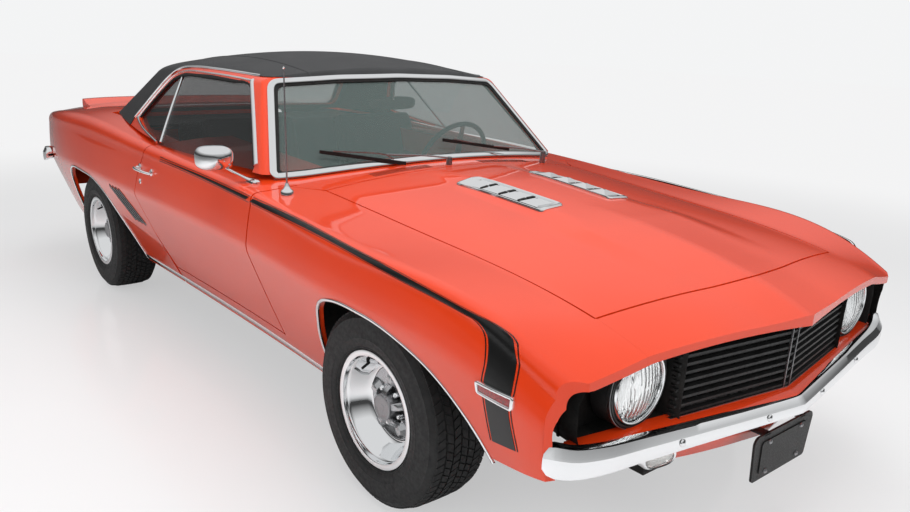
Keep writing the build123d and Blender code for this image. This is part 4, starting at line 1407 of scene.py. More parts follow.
class Repeater:
    """Geometry Nodes tree that copies a small mesh in a row or round a centre."""

    def __init__(self) -> None:
        """Builds the tree and its named inputs."""
        tree = bpy.data.node_groups.new("repeat_piece", "GeometryNodeTree")
        face = tree.interface
        self.tree, self.ids = tree, {}
        face.new_socket(name="Geometry", in_out="INPUT", socket_type="NodeSocketGeometry")
        for name, kind in (("Piece", "NodeSocketObject"), ("Count", "NodeSocketInt"),
                           ("Start", "NodeSocketVector"),
                           ("Step", "NodeSocketVector"), ("Turn", "NodeSocketVector"),
                           ("Finish", "NodeSocketMaterial")):
            self.ids[name] = face.new_socket(name=name, in_out="INPUT", socket_type=kind).identifier
        face.new_socket(name="Geometry", in_out="OUTPUT", socket_type="NodeSocketGeometry")

        def add(kind: str) -> bpy.types.Node:
            """New node in the tree."""
            return tree.nodes.new(kind)

        source, target = add("NodeGroupInput"), add("NodeGroupOutput")
        line, spread_out = add("GeometryNodeMeshLine"), add("GeometryNodeInstanceOnPoints")
        piece, index = add("GeometryNodeObjectInfo"), add("GeometryNodeInputIndex")
        scale, euler = add("ShaderNodeVectorMath"), add("FunctionNodeEulerToRotation")
        real, paint = add("GeometryNodeRealizeInstances"), add("GeometryNodeSetMaterial")
        scale.operation = "SCALE"
        link = tree.links.new
        link(source.outputs["Count"], line.inputs["Count"])
        link(source.outputs["Start"], line.inputs["Start Location"])
        link(source.outputs["Step"], line.inputs["Offset"])
        link(source.outputs["Piece"], piece.inputs["Object"])
        link(source.outputs["Turn"], scale.inputs[0])
        link(index.outputs[0], scale.inputs["Scale"])
        link(scale.outputs[0], euler.inputs[0])
        link(line.outputs[0], spread_out.inputs["Points"])
        link(piece.outputs["Geometry"], spread_out.inputs["Instance"])
        link(euler.outputs[0], spread_out.inputs["Rotation"])
        link(spread_out.outputs[0], real.inputs[0])
        link(real.outputs[0], paint.inputs["Geometry"])
        link(source.outputs["Finish"], paint.inputs["Material"])
        link(paint.outputs[0], target.inputs[0])

    def copies(self, name: str, piece: bpy.types.Object, count: int, finish: Finish,
               start: Point = (0.0, 0.0, 0.0), step: Point = (0.0, 0.0, 0.0),
               turn: Point = (0.0, 0.0, 0.0)) -> bpy.types.Object:
        """Copies a piece, which is used up, and gives back one plain mesh.

        Args:
            name: Name of the result.
            piece: Object that is copied, modelled about the origin.
            count: Number of copies.
            finish: Finish of all copies.
            start: Place of the first copy.
            step: Distance from one copy to the next.
            turn: Rotation from one copy to the next, in radians about X, Y and Z.

        Returns:
            The object with all copies.
        """
        whole = bpy.data.objects.new(name, bpy.data.meshes.new(name))
        bpy.context.scene.collection.objects.link(whole)
        modifier = whole.modifiers.new("repeat", "NODES")
        modifier.node_group = self.tree
        for key, value in (("Piece", piece), ("Count", count), ("Start", start), ("Step", step), ("Turn", turn),
                           ("Finish", finish.material)):
            modifier[self.ids[key]] = value
        Maker.apply(whole)
        bpy.data.objects.remove(piece, do_unlink=True)
        return whole


def superellipse(half_a: float, half_b: float, power: float, count: int) -> list[Flat]:
    """Closed rounded outline between an ellipse and a rectangle."""
    out = []
    for k in range(count):
        t = 2 * math.pi * k / count
        c, s = math.cos(t), math.sin(t)
        out.append((half_a * math.copysign(abs(c)**(2 / power), c),
                    half_b * math.copysign(abs(s)**(2 / power), s)))
    return out


@dataclass
class Nose:
    """Grille, lamp recesses, headlamps, lip panel, valance, parking lamps and plate bracket."""

    palette: Palette
    nose_x: float = 2.335
    seam: Flat = (2.239, 0.616)
    grille_low: float = 0.514
    grille_high: float = 0.712
    grille_half: float = 0.452
    bars: int = 9
    lamp: Point = (2.176, 0.575, 0.622)
    lamp_radius: float = 0.093
    park: Point = (2.262, 0.470, 0.400)
    park_half: Flat = (0.056, 0.030)

    def vee(self, y: float) -> float:
        """How far the nose's plan line falls back at a width."""
        return (self.nose_x - self.seam[0]) / self.seam[1] * abs(y)

    def build(self) -> None:
        """Makes the pieces of the nose."""
        self.grille()
        self.lip()
        self.valance()
        for side in Side:
            self.headlamp(side)
            self.recess(side)
            self.parking_lamp(side)
        self.bracket()

    def vee_bar(self, name: str, x: float, half: float, section: Sequence[Flat],
                finish: Finish) -> bpy.types.Object:
        """Bar along the nose's V with a section of (x, z) points, modelled at height 0."""
        rings = [[(x - self.vee(y) + a, y, b) for a, b in section] for y in (-half, -half / 2, -0.002,
            0.002, half / 2, half)]
        return Maker.loft(name, rings, finish, sharp=40)

    def grille(self) -> None:
        """Fine horizontal bars over a dark back plate, with bright edge lines."""
        black = self.palette.plastic
        pitch = (self.grille_high - self.grille_low - 0.012) / (self.bars - 1)
        bar = self.vee_bar("bar", 2.294, self.grille_half, ((0.0, -0.0035), (0.0, 0.0035), (-0.016, 0.0045),
                                                         (-0.022, 0.0), (-0.016, -0.0045)), black)
        repeat = Repeater()
        bars = repeat.copies("bars", bar, self.bars, black, (0.0, 0.0, self.grille_low + 0.006),
                             (0.0, 0.0, pitch))
        fine = self.vee_bar("fine_bar", 2.282, self.grille_half,
                            ((0.0, -0.0012), (0.0, 0.0012), (-0.010, 0.0012),
                                                               (-0.010, -0.0012)), black)
        fines = repeat.copies("fines", fine, self.bars - 1, black,
                              (0.0, 0.0, self.grille_low + 0.006 + pitch / 2),
                              (0.0, 0.0, pitch))
        parts = [bars, fines]
        post = Maker.box("post", (-0.005, -0.0015, self.grille_low), (0.005, 0.0015, self.grille_high),
                         black, bevel=0.0)
        for start, turn in ((0.030, 1), (-0.030, -1)):
            for k in range(10):
                y = start + turn * 0.044 * k
                parts.append(Maker.box("post", (2.262 - self.vee(y), y - 0.0012, self.grille_low),
                                       (2.272 - self.vee(y), y + 0.0012, self.grille_high), black, bevel=0.0))
        bpy.data.objects.remove(post, do_unlink=True)
        back = [[(2.240 - self.vee(y), y, self.grille_low), (2.240 - self.vee(y), y, self.grille_high),
                 (2.234 - self.vee(y), y, self.grille_high), (2.234 - self.vee(y), y, self.grille_low)]
                for y in (-0.56, -0.28, 0.0, 0.28, 0.56)]
        parts.append(Maker.loft("back", back, self.palette.inner_black))
        own(Maker.join("grille_bars", parts), "body", "black_plastic", "grille")
        lines = []
        for z, x in ((self.grille_low - 0.001, 2.2985), (self.grille_high + 0.001, 2.300)):
            edge = self.vee_bar("edge", x, self.grille_half + 0.012,
                                ((0.0, z - 0.002), (0.0, z + 0.002), (-0.012, z + 0.002),
                                                                  (-0.012, z - 0.002)), self.palette.satin)
            lines.append(edge)
        for y in (-0.016, 0.016):
            lines.append(Maker.box("fold", (2.290 - self.vee(y), y - 0.0015, self.grille_low),
                                   (2.298 - self.vee(y), y + 0.0015, self.grille_high), self.palette.satin,
                                   bevel=0.0005))
        own(Maker.join("grille_lines", lines), "body", "satin_metal")

    def lip(self) -> None:
        """Painted panel that slopes from the grille's foot to the bumper."""
        rings = []
        for y in sorted([*np.linspace(-0.790, 0.790, 41), -0.002, 0.002]):
            x = self.nose_x - self.vee(y)
            rise = 0.004 * (abs(y) / 0.79)**2
            rings.append([(x - 0.062, y, 0.514 + rise), (x - 0.036, y, 0.512 + rise),
                          (x - 0.010, y, 0.504 + rise),
                          (x - 0.003, y, 0.498 + rise), (x - 0.001, y, 0.486), (x - 0.004, y, 0.446),
                          (x - 0.030, y, 0.432), (x - 0.070, y, 0.436)])
        own(Maker.loft("nose_lip", rings, self.palette.paint, sharp=28), "body", "body_paint", "front_valance")

    def valance_x(self, y: float) -> float:
        """Front of the lower valance at a width."""
        near = min(abs(y), 0.64)
        far = max(0.0, abs(y) - 0.64)
        return 2.288 - self.vee(near) - 0.12 * far - 1.1 * far * far

    def valance(self) -> None:
        """Painted valance under the bumper, with openings for its lamps."""
        rings = []
        for y in sorted([*np.linspace(-0.868, 0.868, 81), -0.002, 0.002]):
            x = self.valance_x(y)
            share = abs(y) / 0.868
            low, high = 0.335 + 0.122 * share**2.5, 0.430 + 0.072 * share**3
            rings.append([(x - 0.030, y, high + 0.016), (x - 0.004, y, high + 0.012), (x, y, high),
                          (x - 0.010, y, (high + low) / 2), (x - 0.032, y, low + 0.006), (x - 0.050, y, low),
                          (x - 0.062, y, low + 0.010), (x - 0.030, y, (high + low) / 2), (x - 0.028, y, high)])
        sheet = Maker.loft("front_valance_skin", rings, self.palette.paint, sharp=50)
        for side in Side:
            outline = [(side.value * self.park[1] + a, self.park[2] + b)
                       for a, b in superellipse(self.park_half[0] + 0.006, self.park_half[1] + 0.006, 3.0, 40)]
            Maker.cut(sheet, Maker.prism(outline, Axis.X, 2.0, 2.4))
        Maker.smooth(sheet, 35)
        own(sheet, "body", "body_paint")

    def parking_lamp(self, side: Side) -> None:
        """Clear lens in a bright rim, seated in the valance."""
        y0, z0 = side.value * self.park[1], self.park[2]
        x0 = self.valance_x(y0) - 0.006
        slope = 0.1558 * side.value

        def ring(scale: float, forward: float) -> list[Point]:
            """Outline of the lamp at a scale and a distance forward."""
            return [(x0 + forward - slope * a * scale - 0.1 * b * scale, y0 + a * scale, z0 + b * scale)
                    for a, b in superellipse(*self.park_half, 3.0, 48)]

        rim = Maker.loft("rim", [ring(1.04, -0.020), ring(1.08, 0.002), ring(1.04, 0.007), ring(0.93, 0.006),
                                 ring(0.92, -0.020)], self.palette.chrome, caps=False)
        lens = Maker.loft("lens", [ring(0.92, -0.006), ring(0.92, 0.003), ring(0.80, 0.009), ring(0.45, 0.013),
                                   ring(0.05, 0.014)], self.palette.clear_lens)
        cup = Maker.loft("cup", [ring(0.92, -0.007), ring(0.85, -0.016), ring(0.05, -0.020)],
                         self.palette.reflector)
        own(Maker.join(f"parking_lamp_{side.name.lower()}", [rim, lens, cup]), "body", "lamp_glass",
            "front_lamps")

    def headlamp(self, side: Side) -> None:
        """Sealed round lamp with its fluted glass, bowl and rings."""
        x, y, z = self.lamp[0], side.value * self.lamp[1], self.lamp[2]
        centre, way, r = (x, y, z), (1.0, 0.0, 0.0), self.lamp_radius
        steps = 144
        glass_rings = []
        for k in range(15):
            share = k / 14
            radius = r * 0.985 * (1 - share)
            glass_rings.append((radius, 0.0165 + 0.021 * (1 - (1 - share)**2)))
        rings = []
        for radius, forward in glass_rings[:-1]:
            ring = []
            for j in range(steps):
                t = 2 * math.pi * j / steps
                a, b = radius * math.cos(t), radius * math.sin(t)
                flute = 0.0009 * math.cos(a / r * 38.0) * (1 if abs(b) < r * 0.92 else 0)
                ring.append((x + forward + flute, y + a, z + b))
            rings.append(ring)
        rings.append([(x + glass_rings[-1][1], y + 1e-4 * math.cos(2 * math.pi * j / steps),
                       z + 1e-4 * math.sin(2 * math.pi * j / steps)) for j in range(steps)])
        back = [[(p[0] - 0.004, y + (p[1] - y) * 0.985,
                  z + (p[2] - z) * 0.985) for p in ring] for ring in rings[::-1]]
        glass = Maker.loft("glass", rings + back, self.palette.lens, loop=False)
        bowl_profile = [(r * 0.97, 0.012)] + [(r * 0.97 * math.sqrt(1 - s), 0.012 - 0.060 * s)
                                              for s in np.linspace(0.05, 0.97, 14)]
        bowl = Maker.revolve("bowl", bowl_profile + [(0.001, -0.050), (0.001, -0.054), (r, -0.050),
                                                     (r, 0.012)], centre, way,
                             self.palette.reflector, steps=64)
        shield = Maker.revolve("shield", [(0.0005, 0.000), (0.010, -0.002), (0.013, -0.010), (0.011, -0.034),
                                          (0.0005, -0.036)], centre, way, self.palette.chrome, steps=32)
        ring = Maker.revolve("ring", [(r * 0.965, 0.010), (r * 0.965, 0.020), (r * 0.99, 0.0255),
                                      (r * 1.03, 0.0265),
                                      (r * 1.065, 0.021), (r * 1.07, 0.004), (r * 1.02, 0.002)], centre, way,
                             self.palette.chrome, steps=96)
        collar = Maker.revolve("collar", [(r * 1.072, -0.045), (r * 1.072, 0.012), (r * 1.10, 0.020),
                                          (r * 1.16, 0.021),
                                          (r * 1.19, 0.014), (r * 1.20, -0.045)], centre, way,
                                          self.palette.plastic,
                               steps=96)
        outer = Maker.revolve("outer", [(r * 1.19, 0.012), (r * 1.195, 0.019), (r * 1.215, 0.019),
                                        (r * 1.22, 0.010)],
                              centre, way, self.palette.satin, steps=96)
        own(Maker.join(f"headlamp_{side.name.lower()}", [glass, bowl, shield, ring, collar, outer]), "body",
            "lamp_glass", "front_lamps")

    def recess(self, side: Side) -> None:
        """Black pocket round the headlamp, behind the fender's edge."""
        sign = side.value
        black = self.palette.inner_black
        outline = [(0.440, 0.508), (0.440, 0.724), (0.560, 0.736), (0.690, 0.722), (0.758, 0.690),
                   (0.784, 0.620),
                   (0.782, 0.540), (0.770, 0.508)]
        rings = []
        for x_shift, grow in ((0.045, 1.0), (0.0, 0.99), (-0.055, 0.96)):
            rings.append([(2.170 + x_shift - 0.16 * (a - 0.575), sign * (0.62 + (a - 0.62) * grow),
                           0.62 + (b - 0.62) * grow)
                          for a, b in outline])
        inner = [[(p[0] - 0.004, sign * (0.62 + (abs(p[1]) - 0.62) * 0.985), 0.62 + (p[2] - 0.62) * 0.985)
                  for p in ring] for ring in rings[::-1]]
        pocket = Maker.loft("pocket", rings + inner, black, caps=False, loop=True)
        plate = Maker.prism([(sign * a, b) for a, b in outline], Axis.X, 2.108, 2.114)
        plate.data.materials.append(black.material)
        own(Maker.join(f"lamp_pocket_{side.name.lower()}", [pocket, plate]), "body", "black_plastic")

    def bracket(self) -> None:
        """Bare plate bracket with slanted sides and its bolts."""
        black, satin = self.palette.plastic, self.palette.satin
        outline = [(-0.152, 0.400), (-0.166, 0.384), (-0.150, 0.252), (0.150, 0.252), (0.166, 0.384),
                   (0.152, 0.400)]
        plate = Maker.prism(round_corners(outline, 0.012), Axis.X, 2.309, 2.316)
        plate.data.materials.append(black.material)
        rib = Maker.prism(round_corners([(-0.128, 0.378), (-0.122, 0.272), (0.122, 0.272), (0.128, 0.378)],
                                        0.014), Axis.X,
                          2.314, 2.3195)
        rib.data.materials.append(black.material)
        parts = [plate, rib]
        for y in (-0.10, 0.10):
            parts.append(Maker.box("hanger", (2.262, y - 0.018, 0.392), (2.316, y + 0.018, 0.400), black,
                                   bevel=0.002))
            for z in (0.372, 0.276):
                parts.append(Maker.revolve("bolt", [(0.0003, 0.0065), (0.004, 0.006), (0.0075, 0.003),
                                                    (0.008, 0.0),
                                                    (0.0003, 0.0)], (2.3195, y * 0.89, z), (1.0, 0.0, 0.0),
                                                    satin,
                                           steps=20))
        own(Maker.join("plate_bracket_bare", parts), "body", "satin_black", "plate_bracket")


@dataclass
class Bumpers:
    """Bright bumpers with a top and a front facet, wide ends and bolts."""

    palette: Palette
    front: tuple[tuple[float, float, float, float], ...] = (
        (2.358, 0.000, 0.448, 0.498), (2.352, 0.040, 0.448, 0.498), (2.309, 0.320, 0.450, 0.505),
        (2.264, 0.600, 0.450, 0.514), (2.244, 0.740, 0.450, 0.522), (2.222, 0.818, 0.452, 0.530),
        (2.204, 0.852, 0.455, 0.538), (2.190, 0.870, 0.460, 0.541), (2.178, 0.880, 0.468, 0.538),
        (2.170, 0.884, 0.480, 0.530),
    )
    rear: tuple[tuple[float, float, float, float], ...] = (
        (2.360, 0.000, 0.598, 0.668), (2.358, 0.300, 0.598, 0.668), (2.350, 0.600, 0.598, 0.670),
        (2.334, 0.780, 0.598, 0.676), (2.308, 0.862, 0.598, 0.682), (2.262, 0.902, 0.600, 0.688),
        (2.200, 0.914, 0.606, 0.690), (2.150, 0.917, 0.616, 0.684), (2.128, 0.917, 0.630, 0.668),
    )

    def blade(self, name: str, table: Sequence[Sequence[float]], sign: int) -> bpy.types.Object:
        """Blade bent round the car's end.

        Args:
            name: Name of the piece.
            table: Rows of x, half width, low and high z.
            sign: 1 for the front and -1 for the rear.

        Returns:
            The blade.
        """
        half = curve_through(table, 46)
        line = np.vstack([half[:0:-1] * (1, -1, 1, 1), half])
        rings = []
        for i, (x, y, low, high) in enumerate(line):
            a, b = line[max(i - 1, 0)], line[min(i + 1, len(line) - 1)]
            run = np.array((b[0] - a[0], b[1] - a[1]))
            run /= np.linalg.norm(run)
            out = np.array((run[1], -run[0]))
            if i == len(half) - 1:
                out = np.array((1.0, 0.0))
            tall = high - low
            profile = [(-0.040, low + 0.012), (-0.014, low + 0.002), (-0.006, low), (0.0, low + 0.004),
                       (0.0015, low + tall * 0.30), (0.0, high - tall * 0.36), (-0.004, high - tall * 0.28),
                       (-0.014, high - 0.003), (-0.020, high), (-0.036, high + 0.001), (-0.042, high - 0.006),
                       (-0.036, high - 0.012), (-0.012, high - tall * 0.34), (-0.008, low + 0.012)]
            rings.append([((x + out[0] * d) * sign, y + out[1] * d, z) for d, z in profile])
        return Maker.loft(name, rings, self.palette.chrome, sharp=26)

    def build(self) -> None:
        """Makes both bumpers with their bolts."""
        bolts = []
        for sign, table, spots in ((1, self.front, (0.150, 0.484)), (-1, self.rear, (0.300,))):
            for y in spots:
                for hand in (-1, 1):
                    x = float(np.interp(y, [r[1] for r in table[:6]], [r[0] for r in table[:6]]))
                    z = float(np.interp(y, [r[1] for r in table], [(r[2] + r[3]) / 2 - 0.004 for r in table]))
                    bolts.append(Maker.revolve("bolt", [(0.0003, 0.0075), (0.005, 0.0068), (0.0095, 0.004),
                                                        (0.011, 0.0),
                                                        (0.0003, -0.002)], (sign * x, hand * y, z),
                                                        (sign * 1.0, 0.0, 0.0),
                                               self.palette.chrome, steps=24))
        own(self.blade("front_bumper_blade", self.front, 1), "body", "chrome", "front_bumper")
        own(self.blade("rear_bumper_blade", self.rear, -1), "body", "chrome", "rear_bumper")
        own(Maker.join("bumper_bolts", bolts), "body", "chrome")


@dataclass
class RoadWheels:
    """Deep stepped rims with a ribbed disc, hub cap and nuts, and their treaded tyres."""

    palette: Palette
    track_y: float = 0.757
    axle_z: float = 0.326
    axles: tuple[tuple[str, float], ...] = (("front", 1.432), ("rear", -1.313))
    spokes: int = 5
    blocks: int = 72
    rim: tuple[Flat, ...] = (
        (0.1950, 0.0985), (0.1925, 0.1030), (0.1890, 0.1042), (0.1780, 0.1042), (0.1745, 0.1025),
        (0.1730, 0.0985),
        (0.1722, 0.0930), (0.1700, 0.0880), (0.1672, 0.0860), (0.1640, 0.0800), (0.1500, 0.0540),
        (0.1380, 0.0330),
        (0.1300, 0.0225), (0.1250, 0.0195), (0.1222, 0.0190), (0.1222, 0.0020), (0.1300, -0.0040),
        (0.1600, -0.0200),
        (0.1680, -0.0850), (0.1760, -0.1000), (0.1950, -0.1000), (0.1950, -0.0885), (0.1850, -0.0850),
        (0.1840, 0.0850),
        (0.1950, 0.0885),
    )
    tyre: tuple[Flat, ...] = (
        (0.1870, 0.0860), (0.1955, 0.0900), (0.1960, 0.1010), (0.2010, 0.1068), (0.2045, 0.1060),
        (0.2060, 0.1078),
        (0.2200, 0.1104), (0.2300, 0.1118), (0.2320, 0.1128), (0.2345, 0.1120), (0.2600, 0.1128),
        (0.2800, 0.1108),
        (0.2920, 0.1078), (0.2945, 0.1084), (0.2965, 0.1062), (0.3060, 0.1005), (0.3120, 0.0940),
        (0.3160, 0.0860),
        (0.3185, 0.0760), (0.3200, 0.0400), (0.3205, 0.0),
    )

    def build(self) -> None:
        """Makes one wheel and one tyre and places them at the four corners."""
        repeat = Repeater()
        wheel, tyre = self.wheel(repeat), self.tyre_piece(repeat)
        for end, x in self.axles:
            for side in Side:
                corner = f"{end}_{side.name.lower()}"
                own(self.placed(wheel, f"road_wheel_{corner}", x, side), f"wheel_{corner}", "wheel_silver",
                    f"wheel_{corner}")
                own(self.placed(tyre, f"road_tyre_{corner}", x, side), f"wheel_{corner}", "tyre",
                    f"tyre_{corner}")
        for thing in (wheel, tyre):
            bpy.data.objects.remove(thing, do_unlink=True)

    def placed(self, thing: bpy.types.Object, name: str, x: float, side: Side) -> bpy.types.Object:
        """Copy of a piece at one corner of the car."""
        if side is Side.RIGHT:
            copy = Maker.mirrored(thing, name)
        else:
            copy = bpy.data.objects.new(name, thing.data.copy())
            bpy.context.scene.collection.objects.link(copy)
        copy.data.transform(Matrix.Translation((x, side.value * self.track_y, self.axle_z)))
        return copy

    def wheel(self, repeat: Repeater) -> bpy.types.Object:
        """Rim, disc, ribs, hub cap, arms, nuts and valve, about the origin."""
        shiny, cast, dark = self.palette.chrome, self.palette.wheel, self.palette.inner_black
        centre, way = (0.0, 0.0, 0.0), (0.0, 1.0, 0.0)
        parts = [Maker.revolve("rim", self.rim, centre, way, shiny, steps=96, sharp=28)]
        parts.append(Maker.revolve("disc", [(0.1215, 0.0175), (0.1190, 0.0200), (0.1160, 0.0205),
                                            (0.0600, 0.0235),
                                            (0.0005, 0.0240), (0.0005, 0.0020), (0.1215, 0.0020)], centre,
                                            way, cast,
                                   steps=96, sharp=30))
        turn = (0.0, 2 * math.pi / self.spokes, 0.0)
        base = [(-0.030, 0.090), (-0.018, 0.058), (0.018, 0.058), (0.030, 0.090), (0.021, 0.1165),
                (-0.021, 0.1165)]
        rings = []
        for grow, out in ((1.0, 0.018), (0.97, 0.0245), (0.45, 0.0420), (0.20, 0.0445), (0.02, 0.0450)):
            rings.append([(a * grow, out, 0.088 + (b - 0.088) * grow) for a, b in base])
        parts.append(repeat.copies("ribs", Maker.loft("rib", rings, cast, sharp=20), self.spokes, cast,
                                   turn=turn))
        window = [(-0.0095, 0.0985), (0.0095, 0.0985), (0.0115, 0.1130), (-0.0115, 0.1130)]
        pane = Maker.loft("window", [[(a, out + (0.0985 - b) * 0.75, b) for a,
                                      b in round_corners(window, 0.003, 4)]
                                     for out in (0.020, 0.0392)], dark, sharp=30)
        parts.append(repeat.copies("windows", pane, self.spokes, dark, turn=turn))
        slot = Maker.box("slot", (-0.0165, 0.0200, 0.044), (0.0165, 0.0262, 0.066), dark, bevel=0.002)
        slot.data.transform(Matrix.Rotation(math.pi / self.spokes, 4, "Y"))
        parts.append(repeat.copies("slots", slot, self.spokes, dark, turn=turn))
        arm_rings = []
        for z, half, low, high in ((0.030, 0.0115, 0.024, 0.0640), (0.052, 0.0120, 0.024, 0.0610),
                                   (0.063, 0.0125, 0.023, 0.0520),
                                   (0.073, 0.0130, 0.022, 0.0380), (0.078, 0.0130, 0.021, 0.0280)):
            arm_rings.append([(-half, low, z), (-half, high - 0.003, z), (-half + 0.003, high, z),
                              (half - 0.003, high, z),
                              (half, high - 0.003, z), (half, low, z)])
        parts.append(repeat.copies("arms", Maker.loft("arm", arm_rings, cast, sharp=35), self.spokes, cast,
                                   turn=turn))
        parts.append(Maker.revolve("cap", [(0.0005, 0.0700), (0.0110, 0.0700), (0.0120, 0.0690),
                                           (0.0290, 0.0690),
                                           (0.0300, 0.0698), (0.0395, 0.0698), (0.0420, 0.0685),
                                           (0.0430, 0.0650),
                                           (0.0430, 0.0230), (0.0005, 0.0230)], centre, way, self.palette.satin,
                                   steps=64, sharp=30))
        nut = Maker.revolve("nut", [(0.0003, 0.0500), (0.0050, 0.0490), (0.0082, 0.0455), (0.0095, 0.0420),
                                    (0.0095, 0.0230), (0.0003, 0.0230)], (0.0, 0.0, 0.0), way, shiny,
                                    steps=12, sharp=30)
        nut.data.transform(Matrix.Rotation(math.pi / self.spokes, 4,
                                           "Y") @ Matrix.Translation((0.0, 0.0, 0.0580)))
        parts.append(repeat.copies("nuts", nut, self.spokes, shiny, turn=turn))
        angle = math.radians(-40)
        out_way = Vector((math.sin(angle), 0.0, math.cos(angle)))
        start = out_way * 0.150 + Vector((0.0, 0.052, 0.0))
        end = out_way * 0.138 + Vector((0.0, 0.084, 0.0))
        parts.append(Maker.tube("valve", [start, start * 0.6 + end * 0.4, end], 0.0045, dark))
        return Maker.join("wheel_master", parts)

    def tyre_piece(self, repeat: Repeater) -> bpy.types.Object:
        """Tyre with its sidewall lines and rows of tread blocks, about the origin."""
        rubber = self.palette.rubber
        half = list(self.tyre)
        profile = half + [(r, -out) for r, out in half[-2::-1]]
        parts = [Maker.revolve("carcass", profile, (0.0, 0.0, 0.0), (0.0, 1.0, 0.0), rubber, steps=128,
                               sharp=40)]
        step = 2 * math.pi / self.blocks
        rows = ((0.0, 0.0105, 0.3255), (0.0270, 0.0110, 0.3252), (0.0540, 0.0110, 0.3243),
                (0.0815, 0.0115, 0.3215))
        for number, (out, wide, reach) in enumerate(rows):
            for sign in ((1,) if out == 0.0 else (1, -1)):
                skew = (0.22 if number % 2 else -0.22) * step * sign
                rings = []
                for share in (-1.0, 1.0):
                    y = sign * out + share * wide
                    angle = 0.5 * step * number + skew * share
                    spread_angle = 0.41 * step
                    low = 0.3120 if number == 3 and share * sign > 0 else 0.3175
                    high = reach - (0.0045 if number == 3 and share * sign > 0 else 0.0)
                    corners = ((low, -1), (high, -1), (high, 1), (low, 1))
                    rings.append([(r * math.sin(angle + side * spread_angle), y,
                                   r * math.cos(angle + side * spread_angle))
                                  for r, side in corners])
                block = Maker.loft("block", rings, rubber, sharp=20)
                parts.append(repeat.copies("tread", block, self.blocks, rubber, turn=(0.0, step, 0.0)))
        return Maker.join("tyre_master", parts)


